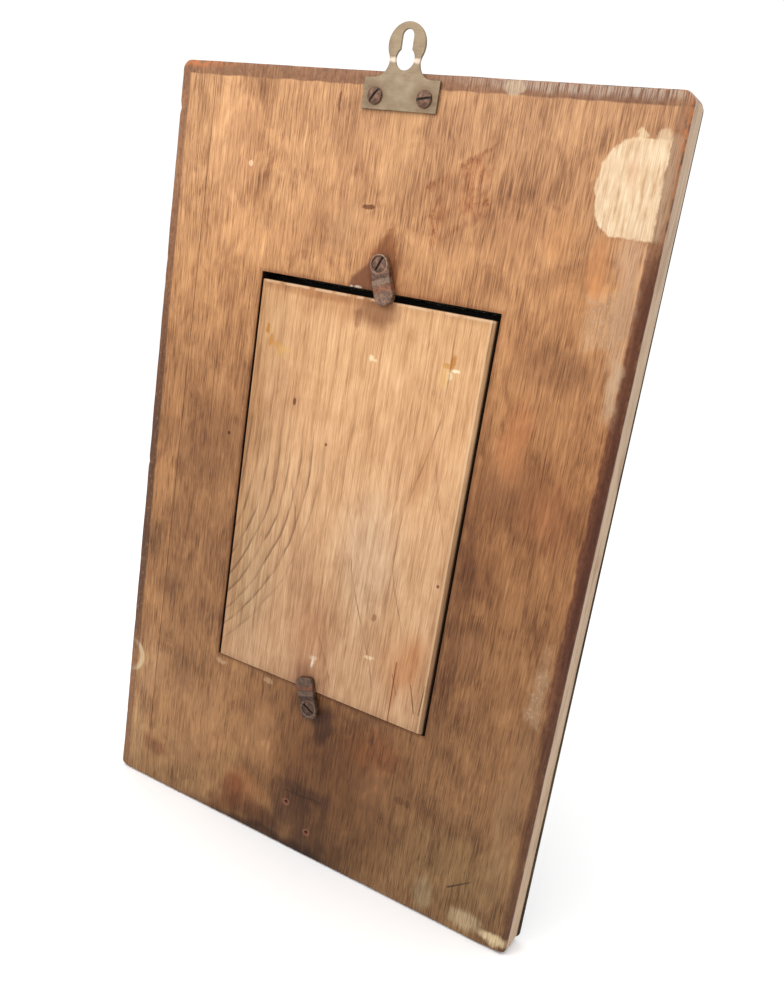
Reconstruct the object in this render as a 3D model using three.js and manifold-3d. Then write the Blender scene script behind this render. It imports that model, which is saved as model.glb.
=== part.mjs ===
// A wall-hanging picture frame, built as one wide flat board. An opening is cut through the board,
// a thin metal facing is pinned over the picture side, glass and cards lie in the opening against
// the facing, and a loose backing board closes it, held in by two turn buttons. A keyhole hanger
// plate is screwed to the top edge.
//
// Millimetres. +Z is up, -Y is the back of the frame, which faces the wall, and +Y is the picture
// side. The origin is the nail's bearing point, at the top of the hanger's slot and midway through
// the hanger plate.

import * as THREE from "three";
import { mergeVertices } from "three/addons/utils/BufferGeometryUtils.js";
import Module from "manifold-3d";

const wasm = await Module();
wasm.setup();

// ---------------------------------------------------------------------------------------------
// Sizes
// ---------------------------------------------------------------------------------------------

// Fits
const touchGap = 0.3; // air left between two pieces that rest on each other
const shankGap = 0.3; // radial air between a shank and the hole it stands in
const pointGap = 0.5; // air left beyond a screw's or pin's point

// Board
const boardWidth = 254;
const boardHeight = 394;
const boardThickness = 15.9;
const upperCornerRadius = 5;
const lowerCornerRadius = 3.5;

// Opening through the board
const openingWidth = 129.4;
const openingHeight = 205;
const openingRise = 0.6; // its centre above the board's centre

// Glass, picture and backing card, laid in the opening from behind
const glassThickness = 2;
const pictureThickness = 0.5;
const backingCardThickness = 2;
const packSideClearance = 1; // on each side
const packTopClearance = 1.5;

// Backing board
const backingSideClearance = 1.6; // on each side
const backingTopClearance = 3.4;
const backingProud = 0.8; // how far its face stands out of the frame board's back

// Facing
const facingThickness = 0.8;
const facingLip = 9; // how far it reaches over the opening's edge
const facingInset = 0.4; // inside the board's left and top edges
const facingFootInset = 0.7; // inside the board's bottom edge
const facingRightInset = 0.25; // inside the board's right edge at the top corner
const facingRightProud = 0.9; // outside the board's right edge at the bottom corner

// Facing pins
const pinsAcross = 4; // along the top and along the bottom
const pinsDown = 5; // along each side, corners included
const pinEdgeInset = 8;
const pinHeadRadius = 2;
const pinHeadHeight = 1.1;
const pinShankRadius = 0.6;
const pinLength = 7;

// Hanger plate
const hangerThickness = 1.2;
const hangerWidth = 38.1;
const hangerBaseHeight = 13.4;
const hangerNeckWidth = 15.2;
const hangerFlareRadius = 7; // concave corner between the neck and the base
const hangerLoopMargin = 2.95; // metal above the slot
const hangerLoopRadius = 9.25;
const hangerRise = 16.9; // slot top above the board's top edge
const hangerLap = 16.4; // plate below the board's top edge
const hangerOffset = 0.8; // hanger's centre line to the left of the board's
const slotWidth = 5.7;
const keyholeRadius = 4.65;
const keyholeDrop = 12; // slot top to the keyhole's centre

// Hanger screws
const hangerScrewSpacing = 25;
const hangerScrewInset = 5.6; // above the plate's bottom edge
const hangerScrewHeadRadius = 3.75;
const hangerScrewHeadHeight = 1.4;

// All wood screws
const screwShankRadius = 1.5;
const screwPointLength = 3.5;
const screwCover = 2.5; // board left beyond a screw's point
const screwSlotWidth = 0.8;
const screwSlotDepth = 0.6;

// Turn buttons
const buttonThickness = 3.2;
const buttonRootWidth = 9.2; // across the screw end
const buttonTipWidth = 10; // across the tip
const fullRound = 0.98; // most of half the width that a corner may round off
const joggleStart = 5; // from the screw's centre line
const joggleLength = 2.5;
const cupDepth = 0.5; // screw head below the button's face
const buttonScrewHeadRadius = 3.6;
const buttonScrewRim = 0.4; // straight edge of the countersunk head
const countersinkGap = 0.4;

const topButton = {
  name: "top",
  across: 2, // from the board's centre line
  clear: 12.2, // screw's centre above the opening's top edge
  angle: 158.8, // of the tip, from straight up towards +X, in degrees
  reach: 18.8, // screw's centre to the tip
  tail: 4.6, // screw's centre to the other end
  tipRound: 4.4,
  tailRound: 4.5,
  slotAngle: 64.8,
};
const bottomButton = {
  name: "bottom",
  across: -1.3,
  clear: -8.9, // below the opening's bottom edge
  angle: -16.6,
  reach: 17,
  tail: 5.6,
  tipRound: 2.6,
  tailRound: 3,
  slotAngle: -27,
};

// Empty screw holes of a lost fitting, from the board's centre line and bottom edge
const emptyHoles = [
  { across: -8.5, up: 26.3 },
  { across: 6.7, up: 14 },
];
const emptyHoleRadius = 1;
const emptyHoleDepth = 8;

// Fineness of round shapes
const holeSides = 16;
const turnedSides = 28;
const arcSegments = 10;

// ---------------------------------------------------------------------------------------------
// Places that follow from the sizes
// ---------------------------------------------------------------------------------------------

const backY = hangerThickness / 2 + touchGap; // board's back face
const frontY = backY + boardThickness; // board's picture side
const facingBackY = frontY + touchGap;
const facingFrontY = facingBackY + facingThickness;

const centreX = hangerOffset;
const leftX = centreX - boardWidth / 2;
const rightX = centreX + boardWidth / 2;
const topZ = -hangerRise;
const bottomZ = topZ - boardHeight;
const openingZ = (topZ + bottomZ) / 2 + openingRise;
const openingTopZ = openingZ + openingHeight / 2;
const openingBottomZ = openingZ - openingHeight / 2;

const glassFrontY = facingBackY - touchGap;
const glassBackY = glassFrontY - glassThickness;
const pictureFrontY = glassBackY - touchGap;
const pictureBackY = pictureFrontY - pictureThickness;
const cardFrontY = pictureBackY - touchGap;
const cardBackY = cardFrontY - backingCardThickness;
const backingFrontY = cardBackY - touchGap;
const backingBackY = backY - backingProud;

const screwReach = boardThickness - screwCover; // depth of a screw's point in the board
const pilotRadius = screwShankRadius + shankGap;
const pilotDepth = screwReach + pointGap;
const pinHoleRadius = pinShankRadius + shankGap;

const hangerBottomZ = topZ - hangerLap;
const hangerShoulderZ = hangerBottomZ + hangerBaseHeight;
const hangerScrewZ = hangerBottomZ + hangerScrewInset;
const hangerScrewXs = [-hangerScrewSpacing / 2, hangerScrewSpacing / 2];

topButton.z = openingTopZ + topButton.clear;
bottomButton.z = openingBottomZ + bottomButton.clear;
for (const button of [topButton, bottomButton]) button.x = centreX + button.across;

// ---------------------------------------------------------------------------------------------
// Solids
// ---------------------------------------------------------------------------------------------

/** Turns a closed three.js geometry into a solid for joining and cutting. */
function solid(geometry) {
  const bare = geometry.clone();
  bare.deleteAttribute("normal");
  bare.deleteAttribute("uv");
  const merged = mergeVertices(bare);
  const index = merged.index.array;
  const triangles = [];
  for (let i = 0; i < index.length; i += 3) {
    const [a, b, c] = [index[i], index[i + 1], index[i + 2]];
    if (a !== b && b !== c && c !== a) triangles.push(a, b, c);
  }
  const mesh = new wasm.Mesh({
    numProp: 3,
    vertProperties: new Float32Array(merged.attributes.position.array),
    triVerts: new Uint32Array(triangles),
  });
  return new wasm.Manifold(mesh);
}

/** Turns a solid back into a flat-shaded three.js geometry. */
function toGeometry(body) {
  const { vertProperties, triVerts } = body.getMesh();
  const shared = new THREE.BufferGeometry();
  shared.setAttribute("position", new THREE.BufferAttribute(new Float32Array(vertProperties), 3));
  shared.setIndex(new THREE.BufferAttribute(new Uint32Array(triVerts), 1));
  const flat = shared.toNonIndexed();
  flat.computeVertexNormals();
  return flat;
}

/** A flat piece: an outline drawn in X and Z, between two depths in Y. */
function slab(outline, fromY, toY, curveSegments = arcSegments) {
  const options = { depth: toY - fromY, bevelEnabled: false, curveSegments };
  const geometry = new THREE.ExtrudeGeometry(outline, options);
  geometry.rotateX(Math.PI / 2);
  geometry.translate(0, toY, 0);
  return solid(geometry);
}

/** A round piece about the Y axis, from [radius, y] points in order of rising y. */
function turned(profile, sides = turnedSides) {
  const points = profile.map(([radius, y]) => new THREE.Vector2(radius, y));
  return solid(new THREE.LatheGeometry(points, sides));
}

/** A round cutter along Y at (x, z). */
function drill(radius, x, z, fromY, toY, sides = holeSides) {
  const profile = [[0, fromY], [radius, fromY], [radius, toY], [0, toY]];
  return turned(profile, sides).translate([x, 0, z]);
}

/** Takes every cutter away from a body. */
function cut(body, cutters) {
  return cutters.reduce((rest, cutter) => rest.subtract(cutter), body);
}

/** A closed outline through corner points, each given as [x, z, radius], anticlockwise. */
function roundedOutline(corners) {
  const shape = new THREE.Shape();
  corners.forEach(([x, z, radius], i) => {
    const at = new THREE.Vector2(x, z);
    const before = corners.at(i - 1);
    const after = corners[(i + 1) % corners.length];
    const toBefore = new THREE.Vector2(before[0], before[1]).sub(at).normalize();
    const toAfter = new THREE.Vector2(after[0], after[1]).sub(at).normalize();
    const halfAngle = Math.acos(toBefore.dot(toAfter)) / 2;
    const back = radius / Math.tan(halfAngle);
    const start = at.clone().addScaledVector(toBefore, back);
    const bisector = toBefore.clone().add(toAfter).normalize();
    const centre = at.clone().addScaledVector(bisector, radius / Math.sin(halfAngle));
    const end = at.clone().addScaledVector(toAfter, back);
    const from = Math.atan2(start.y - centre.y, start.x - centre.x);
    const to = Math.atan2(end.y - centre.y, end.x - centre.x);
    if (i === 0) shape.moveTo(start.x, start.y);
    else shape.lineTo(start.x, start.y);
    if (radius > 0) shape.absarc(centre.x, centre.y, radius, from, to, false);
  });
  shape.closePath();
  return shape;
}

/** A square-cornered rectangle with its centre at (x, z). */
function rectangle(x, z, width, height) {
  const [w, h] = [width / 2, height / 2];
  return new THREE.Shape([
    new THREE.Vector2(x - w, z - h),
    new THREE.Vector2(x + w, z - h),
    new THREE.Vector2(x + w, z + h),
    new THREE.Vector2(x - w, z + h),
  ]);
}

// ---------------------------------------------------------------------------------------------
// Board and facing
// ---------------------------------------------------------------------------------------------

/** Places of the facing pins: a ring just inside the board's edges. */
function pinPlaces() {
  const [x0, x1] = [leftX + pinEdgeInset, rightX - pinEdgeInset];
  const [z0, z1] = [bottomZ + pinEdgeInset, topZ - pinEdgeInset];
  const places = [];
  for (let i = 0; i < pinsAcross; i += 1) {
    const x = THREE.MathUtils.lerp(x0, x1, i / (pinsAcross - 1));
    places.push([x, z1], [x, z0]);
  }
  for (let j = 1; j < pinsDown - 1; j += 1) {
    const z = THREE.MathUtils.lerp(z0, z1, j / (pinsDown - 1));
    places.push([x0, z], [x1, z]);
  }
  return places;
}

function frameBoard() {
  const outline = roundedOutline([
    [leftX, bottomZ, lowerCornerRadius],
    [rightX, bottomZ, lowerCornerRadius],
    [rightX, topZ, upperCornerRadius],
    [leftX, topZ, upperCornerRadius],
  ]);
  outline.holes.push(rectangle(centreX, openingZ, openingWidth, openingHeight));
  const screwPlaces = [
    ...hangerScrewXs.map((x) => [x, hangerScrewZ]),
    [topButton.x, topButton.z],
    [bottomButton.x, bottomButton.z],
  ];
  const past = 1; // cutters start this far outside the face
  const pilots = screwPlaces.map(([x, z]) => drill(pilotRadius, x, z, backY - past, backY + pilotDepth));
  const empties = emptyHoles.map(({ across, up }) =>
    drill(emptyHoleRadius, centreX + across, bottomZ + up, backY - past, backY + emptyHoleDepth));
  const pinDepth = pinLength + pointGap;
  const pins = pinPlaces().map(([x, z]) => drill(pinHoleRadius, x, z, frontY - pinDepth, frontY + past));
  return cut(slab(outline, backY, frontY), [...pilots, ...empties, ...pins]);
}

function frontFacing() {
  const [left, top, foot] = [leftX + facingInset, topZ - facingInset, bottomZ + facingFootInset];
  const outline = roundedOutline([
    [left, foot, lowerCornerRadius],
    [rightX + facingRightProud, foot, lowerCornerRadius],
    [rightX - facingRightInset, top, upperCornerRadius],
    [left, top, upperCornerRadius],
  ]);
  const [sightWidth, sightHeight] = [openingWidth - 2 * facingLip, openingHeight - 2 * facingLip];
  outline.holes.push(rectangle(centreX, openingZ, sightWidth, sightHeight));
  const holes = pinPlaces().map(([x, z]) => drill(pinHoleRadius, x, z, frontY, facingFrontY + 1));
  return cut(slab(outline, facingBackY, facingFrontY), holes);
}

/** A pin with a domed head, its seat at y = 0 and its point towards -Y. */
function facingPin() {
  const seat = touchGap;
  const point = -(facingThickness + touchGap + pinLength);
  const profile = [[0, point], [pinShankRadius, point + 2 * pinShankRadius]];
  profile.push([pinShankRadius, seat], [pinHeadRadius, seat]);
  for (const share of [0.25, 0.5, 0.75]) {
    const angle = (share * Math.PI) / 2;
    profile.push([pinHeadRadius * Math.cos(angle), seat + pinHeadHeight * Math.sin(angle)]);
  }
  profile.push([0, seat + pinHeadHeight]);
  return turned(profile, holeSides);
}

// ---------------------------------------------------------------------------------------------
// What lies in the opening
// ---------------------------------------------------------------------------------------------

/** A sheet that stands on the opening's bottom edge between two depths. */
function packSheet(fromY, toY) {
  const width = openingWidth - 2 * packSideClearance;
  const height = openingHeight - touchGap - packTopClearance;
  const z = openingBottomZ + touchGap + height / 2;
  return slab(rectangle(centreX, z, width, height), fromY, toY);
}

function backingBoard() {
  const width = openingWidth - 2 * backingSideClearance;
  const height = openingHeight - touchGap - backingTopClearance;
  const z = openingBottomZ + touchGap + height / 2;
  return slab(rectangle(centreX, z, width, height), backingBackY, backingFrontY);
}

// ---------------------------------------------------------------------------------------------
// Hanger
// ---------------------------------------------------------------------------------------------

function hangerPlate() {
  const [halfBase, halfNeck] = [hangerWidth / 2, hangerNeckWidth / 2];
  const loopZ = hangerLoopMargin - hangerLoopRadius;
  const neckAngle = Math.acos(halfNeck / hangerLoopRadius); // where the loop meets the neck
  const flareZ = hangerShoulderZ + hangerFlareRadius;
  const flareX = halfNeck + hangerFlareRadius;
  const shape = new THREE.Shape();
  shape.moveTo(-halfBase, hangerBottomZ);
  shape.lineTo(halfBase, hangerBottomZ);
  shape.lineTo(halfBase, hangerShoulderZ);
  shape.absarc(flareX, flareZ, hangerFlareRadius, -Math.PI / 2, -Math.PI, true);
  shape.absarc(0, loopZ, hangerLoopRadius, -neckAngle, Math.PI + neckAngle, false);
  shape.absarc(-flareX, flareZ, hangerFlareRadius, 0, -Math.PI / 2, true);
  shape.lineTo(-halfBase, hangerShoulderZ);
  shape.closePath();

  const halfSlot = slotWidth / 2;
  const shoulder = Math.asin(halfSlot / keyholeRadius); // where the slot meets the keyhole
  const keyhole = new THREE.Path();
  keyhole.absarc(0, -halfSlot, halfSlot, 0, Math.PI, false);
  keyhole.absarc(0, -keyholeDrop, keyholeRadius, Math.PI / 2 + shoulder, Math.PI * 2.5 - shoulder, false);
  keyhole.closePath();
  shape.holes.push(keyhole);

  const plate = slab(shape, -hangerThickness / 2, hangerThickness / 2, 2 * arcSegments);
  const past = hangerThickness;
  return cut(plate, hangerScrewXs.map((x) => drill(pilotRadius, x, hangerScrewZ, -past, past)));
}

// ---------------------------------------------------------------------------------------------
// Screws and turn buttons
// ---------------------------------------------------------------------------------------------

/** A straight cutter for a screw's slot, turned from +X towards +Z by an angle in degrees. */
function screwSlot(headRadius, headTopY, angle) {
  const box = new THREE.BoxGeometry(4 * headRadius, 2 * screwSlotDepth, screwSlotWidth);
  box.rotateY(-THREE.MathUtils.degToRad(angle));
  box.translate(0, headTopY, 0);
  return solid(box);
}

/** A round-headed screw that seats on the hanger plate, its seat at y = 0. */
function hangerScrew(slotAngle) {
  const seat = -touchGap;
  const top = seat - hangerScrewHeadHeight;
  const point = touchGap + hangerThickness + screwReach;
  const profile = [
    [0, top],
    [0.55 * hangerScrewHeadRadius, top + 0.15 * hangerScrewHeadHeight],
    [0.88 * hangerScrewHeadRadius, top + 0.45 * hangerScrewHeadHeight],
    [hangerScrewHeadRadius, seat],
    [screwShankRadius, seat],
    [screwShankRadius, point - screwPointLength],
    [0, point],
  ];
  return turned(profile).subtract(screwSlot(hangerScrewHeadRadius, top, slotAngle));
}

const buttonFaceY = -(touchGap + buttonThickness); // from the board's back face
const buttonScrewTopY = buttonFaceY + cupDepth;
const buttonConeY = buttonScrewTopY + buttonScrewRim;
const buttonShankY = buttonConeY + buttonScrewHeadRadius - screwShankRadius;

/** A countersunk screw for a turn button, with y = 0 on the board's back face. */
function buttonScrew(slotAngle) {
  const profile = [
    [0, buttonScrewTopY],
    [buttonScrewHeadRadius, buttonScrewTopY],
    [buttonScrewHeadRadius, buttonConeY],
    [screwShankRadius, buttonShankY],
    [screwShankRadius, screwReach - screwPointLength],
    [0, screwReach],
  ];
  return turned(profile).subtract(screwSlot(buttonScrewHeadRadius, buttonScrewTopY, slotAngle));
}

/** A turn button with its screw on the Y axis and its tip towards +Z, y = 0 on the board's back. */
function turnButton({ reach, tail, tipRound, tailRound }) {
  const [root, tip] = [buttonRootWidth / 2, buttonTipWidth / 2];
  const rootCorner = Math.min(tailRound, fullRound * root);
  const tipCorner = Math.min(tipRound, fullRound * tip);
  const outline = roundedOutline([
    [-root, -tail, rootCorner],
    [root, -tail, rootCorner],
    [tip, reach, tipCorner],
    [-tip, reach, tipCorner],
  ]);
  const plan = slab(outline, -2 * buttonThickness - backingProud, 0);

  const foot = touchGap;
  const joggleEnd = joggleStart + joggleLength;
  const side = new THREE.Shape([
    [-2 * tail, foot],
    [joggleStart, foot],
    [joggleEnd, foot + backingProud],
    [2 * reach, foot + backingProud],
    [2 * reach, foot + backingProud + buttonThickness],
    [joggleEnd, foot + backingProud + buttonThickness],
    [joggleStart, foot + buttonThickness],
    [-2 * tail, foot + buttonThickness],
  ].map(([along, out]) => new THREE.Vector2(along, out)));
  const sideGeometry = new THREE.ExtrudeGeometry(side, { depth: 2 * buttonTipWidth, bevelEnabled: false });
  const turn = new THREE.Matrix4().makeBasis(
    new THREE.Vector3(0, 0, 1),
    new THREE.Vector3(0, -1, 0),
    new THREE.Vector3(1, 0, 0),
  );
  sideGeometry.applyMatrix4(turn);
  sideGeometry.translate(-buttonTipWidth, 0, 0);

  const cup = buttonScrewHeadRadius + countersinkGap;
  const bore = screwShankRadius + countersinkGap;
  const countersink = turned([
    [0, 2 * buttonFaceY],
    [cup, 2 * buttonFaceY],
    [cup, buttonConeY],
    [bore, buttonShankY],
    [bore, 1],
    [0, 1],
  ]);
  return plan.intersect(solid(sideGeometry)).subtract(countersink);
}

// ---------------------------------------------------------------------------------------------
// Finishes
// ---------------------------------------------------------------------------------------------

function finish(color, roughness, metalness) {
  return new THREE.MeshStandardMaterial({ color, roughness, metalness });
}

const boardWood = finish(0xa9845f, 0.75, 0);
const backingWood = finish(0xc39d76, 0.75, 0);
const facingMetal = finish(0x3a3226, 0.5, 0.9);
const pinMetal = finish(0x4a3d2c, 0.45, 0.9);
const clearGlass = finish(0xdfe6e2, 0.05, 0);
clearGlass.transparent = true;
clearGlass.opacity = 0.35;
const picturePaper = finish(0xe4dcc6, 0.8, 0);
const backingPaper = finish(0x17130f, 0.9, 0);
const hangerSteel = finish(0xa59478, 0.45, 0.9);
const screwIron = finish(0x6f5853, 0.6, 0.8);
const buttonIron = finish(0x6a554b, 0.65, 0.8);

// ---------------------------------------------------------------------------------------------
// Assembly
// ---------------------------------------------------------------------------------------------

const frame = new THREE.Group();

/** Adds one named piece, with an optional place and turn about Y. */
function addPiece(name, body, material, place = [0, 0, 0], turnY = 0) {
  const mesh = new THREE.Mesh(toGeometry(body), material);
  mesh.name = name;
  mesh.position.set(...place);
  mesh.rotation.y = THREE.MathUtils.degToRad(turnY);
  frame.add(mesh);
}

addPiece("frame_board", frameBoard(), boardWood);
addPiece("front_facing", frontFacing(), facingMetal);
pinPlaces().forEach(([x, z], i) => {
  const number = String(i + 1).padStart(2, "0");
  addPiece(`facing_pin_${number}`, facingPin(), pinMetal, [x, facingFrontY, z]);
});

addPiece("glass_pane", packSheet(glassBackY, glassFrontY), clearGlass);
addPiece("picture_sheet", packSheet(pictureBackY, pictureFrontY), picturePaper);
addPiece("backing_card", packSheet(cardBackY, cardFrontY), backingPaper);
addPiece("backing_board", backingBoard(), backingWood);

addPiece("hanger_plate", hangerPlate(), hangerSteel);
const hangerSides = [
  { side: "left", slotAngle: 53 },
  { side: "right", slotAngle: 10.8 },
];
hangerSides.forEach(({ side, slotAngle }, i) => {
  const place = [hangerScrewXs[i], -hangerThickness / 2, hangerScrewZ];
  addPiece(`hanger_screw_${side}`, hangerScrew(slotAngle), screwIron, place);
});

for (const button of [topButton, bottomButton]) {
  const place = [button.x, backY, button.z];
  addPiece(`${button.name}_turn_button`, turnButton(button), buttonIron, place, button.angle);
  addPiece(`${button.name}_button_screw`, buttonScrew(button.slotAngle), screwIron, place);
}

export default frame;
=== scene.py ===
"""The looks of a wall-hanging wooden picture frame, seen from its back.

Sizes are in millimetres and are turned to metres when a mesh is made. The frame's back faces -Y,
its picture side +Y, and +Z is up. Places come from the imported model's own boxes.
"""

from __future__ import annotations

import logging
import math
from dataclasses import dataclass, field
from enum import Enum
from typing import Any, Callable, Iterable, Sequence

import bmesh
import bpy
from mathutils import Matrix, Quaternion, Vector, noise

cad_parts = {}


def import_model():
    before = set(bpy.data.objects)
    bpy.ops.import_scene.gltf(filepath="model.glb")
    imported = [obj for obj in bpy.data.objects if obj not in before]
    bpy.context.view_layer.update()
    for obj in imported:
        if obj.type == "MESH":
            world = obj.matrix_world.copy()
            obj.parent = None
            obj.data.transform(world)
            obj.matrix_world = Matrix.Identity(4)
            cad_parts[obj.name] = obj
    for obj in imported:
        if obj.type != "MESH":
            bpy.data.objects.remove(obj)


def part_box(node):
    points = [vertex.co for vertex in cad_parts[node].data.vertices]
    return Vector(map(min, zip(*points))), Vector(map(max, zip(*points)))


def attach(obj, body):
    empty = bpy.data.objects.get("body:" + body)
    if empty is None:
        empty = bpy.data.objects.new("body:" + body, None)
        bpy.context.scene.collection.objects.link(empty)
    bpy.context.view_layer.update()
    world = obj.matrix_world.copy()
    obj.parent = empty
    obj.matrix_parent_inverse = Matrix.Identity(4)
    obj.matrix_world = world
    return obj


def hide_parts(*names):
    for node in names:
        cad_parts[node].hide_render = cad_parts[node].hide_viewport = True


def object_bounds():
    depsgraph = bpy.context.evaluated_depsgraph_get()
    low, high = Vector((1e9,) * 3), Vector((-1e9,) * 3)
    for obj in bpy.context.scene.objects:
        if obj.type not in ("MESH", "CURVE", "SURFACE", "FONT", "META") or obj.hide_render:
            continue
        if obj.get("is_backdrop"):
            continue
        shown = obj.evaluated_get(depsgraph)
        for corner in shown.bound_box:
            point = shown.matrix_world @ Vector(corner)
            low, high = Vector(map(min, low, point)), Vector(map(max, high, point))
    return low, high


log = logging.getLogger("picture_frame")

MM = 0.001
QUARTER = math.pi / 2

Colour = tuple[float, float, float]
Stops = Sequence[tuple[float, Colour]]
Tone = tuple[int, int, int]
Corners = Sequence[tuple[float, float]]
Relief = Callable[[Vector], float]


# Meshes


@dataclass
class Shape:
    """Points in millimetres and the faces between them, before they become a mesh."""

    points: list[Vector] = field(default_factory=list)
    faces: list[tuple[int, ...]] = field(default_factory=list)

    def add(self, other: "Shape") -> "Shape":
        """Takes in another shape.

        Args:
            other: the shape to add, which stays a separate shell.

        Returns:
            This shape.
        """
        first = len(self.points)
        self.points.extend(other.points)
        self.faces.extend(tuple(i + first for i in face) for face in other.faces)
        return self

    def placed(self, matrix: Matrix) -> "Shape":
        """Moves every point by a matrix and returns this shape."""
        self.points = [matrix @ p for p in self.points]
        return self

    def shifted(self, move: Callable[[Vector], Vector]) -> "Shape":
        """Moves every point by a function and returns this shape."""
        self.points = [move(p) for p in self.points]
        return self

    def piece(self, name: str, crease: float = 32.0) -> bpy.types.Object:
        """Makes a closed mesh object with its faces outward.

        Args:
            name: the object's name.
            crease: the angle between faces, in degrees, above which an edge stays sharp.

        Returns:
            The new object, at the origin.
        """
        mesh = bpy.data.meshes.new(name)
        mesh.from_pydata([p * MM for p in self.points], [], self.faces)
        body = put_in_scene(name, mesh)
        tidy_mesh(mesh)
        soften(mesh, crease)
        return body


def put_in_scene(name: str, data: bpy.types.ID) -> bpy.types.Object:
    """Adds an object to the scene.

    Args:
        name: the object's name.
        data: its mesh, curve, light or camera.

    Returns:
        The object, at the origin.
    """
    body = bpy.data.objects.new(name, data)
    bpy.context.scene.collection.objects.link(body)
    return body


def tidy_mesh(mesh: bpy.types.Mesh) -> None:
    """Merges doubled points, drops faces without area and turns the faces outward.

    Args:
        mesh: the mesh.
    """
    work = bmesh.new()
    work.from_mesh(mesh)
    bmesh.ops.remove_doubles(work, verts=work.verts, dist=2e-7)
    bmesh.ops.dissolve_degenerate(work, edges=work.edges, dist=1e-8)
    bmesh.ops.recalc_face_normals(work, faces=work.faces)
    work.to_mesh(mesh)
    work.free()


def soften(mesh: bpy.types.Mesh, crease: float) -> None:
    """Shades a mesh smooth but keeps edges sharper than an angle, in degrees, as they are.

    Args:
        mesh: the mesh.
        crease: the angle between faces, in degrees, above which an edge stays sharp.
    """
    mesh.polygons.foreach_set("use_smooth", [True] * len(mesh.polygons))
    mesh.set_sharp_from_angle(angle=math.radians(crease))
    mesh.update()


def settle(body: bpy.types.Object) -> None:
    """Turns an object's modifiers into plain mesh and removes them.

    Args:
        body: the object.
    """
    graph = bpy.context.evaluated_depsgraph_get()
    graph.update()
    mesh = bpy.data.meshes.new_from_object(body.evaluated_get(graph))
    body.modifiers.clear()
    body.data = mesh


def carve(body: bpy.types.Object, cutter: Shape, crease: float = 32.0) -> None:
    """Cuts closed shells out of an object.

    Args:
        body: the object to cut.
        cutter: the shells to take away, clear of each other.
        crease: the angle above which an edge of the result stays sharp, in degrees.
    """
    tool = cutter.piece(body.name + "_cutter")
    cut = body.modifiers.new("cut", "BOOLEAN")
    cut.operation = "DIFFERENCE"
    cut.solver = "EXACT"
    cut.object = tool
    settle(body)
    bpy.data.objects.remove(tool)
    tidy_mesh(body.data)
    soften(body.data, crease)


def weigh_normals(body: bpy.types.Object) -> None:
    """Lets the large faces set the shading where they meet a small round edge.

    Args:
        body: the object.
    """
    weighted = body.modifiers.new("weigh", "WEIGHTED_NORMAL")
    weighted.keep_sharp = True
    weighted.weight = 60
    settle(body)


class Ends(Enum):
    """What happens at the ends of a row of loops."""

    FLAT = "flat"
    JOINED = "joined"
    OPEN = "open"


def loft(loops: Sequence[Sequence[Vector]], ends: Ends = Ends.FLAT) -> Shape:
    """Skins a row of closed loops that all have the same number of points.

    Args:
        loops: the loops in order.
        ends: close each end with a flat face, join the last loop to the first, or do neither,
            for end loops that have shrunk to a line.

    Returns:
        The skinned shape.
    """
    count = len(loops[0])
    shape = Shape([p for loop in loops for p in loop])
    last = len(loops) if ends is Ends.JOINED else len(loops) - 1
    for k in range(last):
        here, after = k * count, (k + 1) % len(loops) * count
        for i in range(count):
            j = (i + 1) % count
            shape.faces.append((here + i, here + j, after + j, after + i))
    if ends is Ends.FLAT:
        shape.faces.append(tuple(range(count)))
        shape.faces.append(tuple(range((len(loops) - 1) * count, len(loops) * count)))
    return shape


def turned(profile: Sequence[tuple[float, float]], sides: int) -> Shape:
    """Turns a profile about the Y axis.

    Args:
        profile: (radius, y) pairs from one pole to the other.
        sides: points around.

    Returns:
        A closed shape on the Y axis.
    """
    loops = []
    for radius, y in profile:
        angles = (2 * math.pi * i / sides for i in range(sides))
        loops.append([Vector((radius * math.cos(a), y, radius * math.sin(a))) for a in angles])
    return loft(loops)


def block(low: Vector, high: Vector, radius: float, step: float) -> Shape:
    """Makes a block with round edges and a grid of faces on every side.

    Args:
        low: the lowest corner.
        high: the highest corner.
        radius: the radius of every edge.
        step: the size of the grid.

    Returns:
        The closed block.
    """
    turns = [math.tan(math.radians(a)) for a in (45, 30, 15)]

    def places(a: float, b: float) -> list[float]:
        """Places along one axis: three in each round edge and a grid between.

        Args:
            a: the lower end.
            b: the upper end.

        Returns:
            The places.
        """
        count = max(1, round((b - a - 2 * radius) / step))
        inner = [a + radius + (b - a - 2 * radius) * i / count for i in range(count + 1)]
        edge = [radius * t for t in turns]
        return [a + radius - e for e in edge] + inner + [b - radius + e for e in reversed(edge)]

    grid = [places(low[k], high[k]) for k in range(3)]
    inner_low = low + Vector((radius,) * 3)
    inner_high = high - Vector((radius,) * 3)
    shape = Shape()
    for axis in range(3):
        u, v = [k for k in range(3) if k != axis]
        for side in (low[axis], high[axis]):
            first = len(shape.points)
            for a in grid[u]:
                for b in grid[v]:
                    p = Vector((0, 0, 0))
                    p[axis], p[u], p[v] = side, a, b
                    core = Vector(min(max(p[k], inner_low[k]), inner_high[k]) for k in range(3))
                    shape.points.append(core + (p - core).normalized() * radius)
            width = len(grid[v])
            for i in range(len(grid[u]) - 1):
                for j in range(width - 1):
                    k = first + i * width + j
                    shape.faces.append((k, k + 1, k + width + 1, k + width))
    return shape


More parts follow.
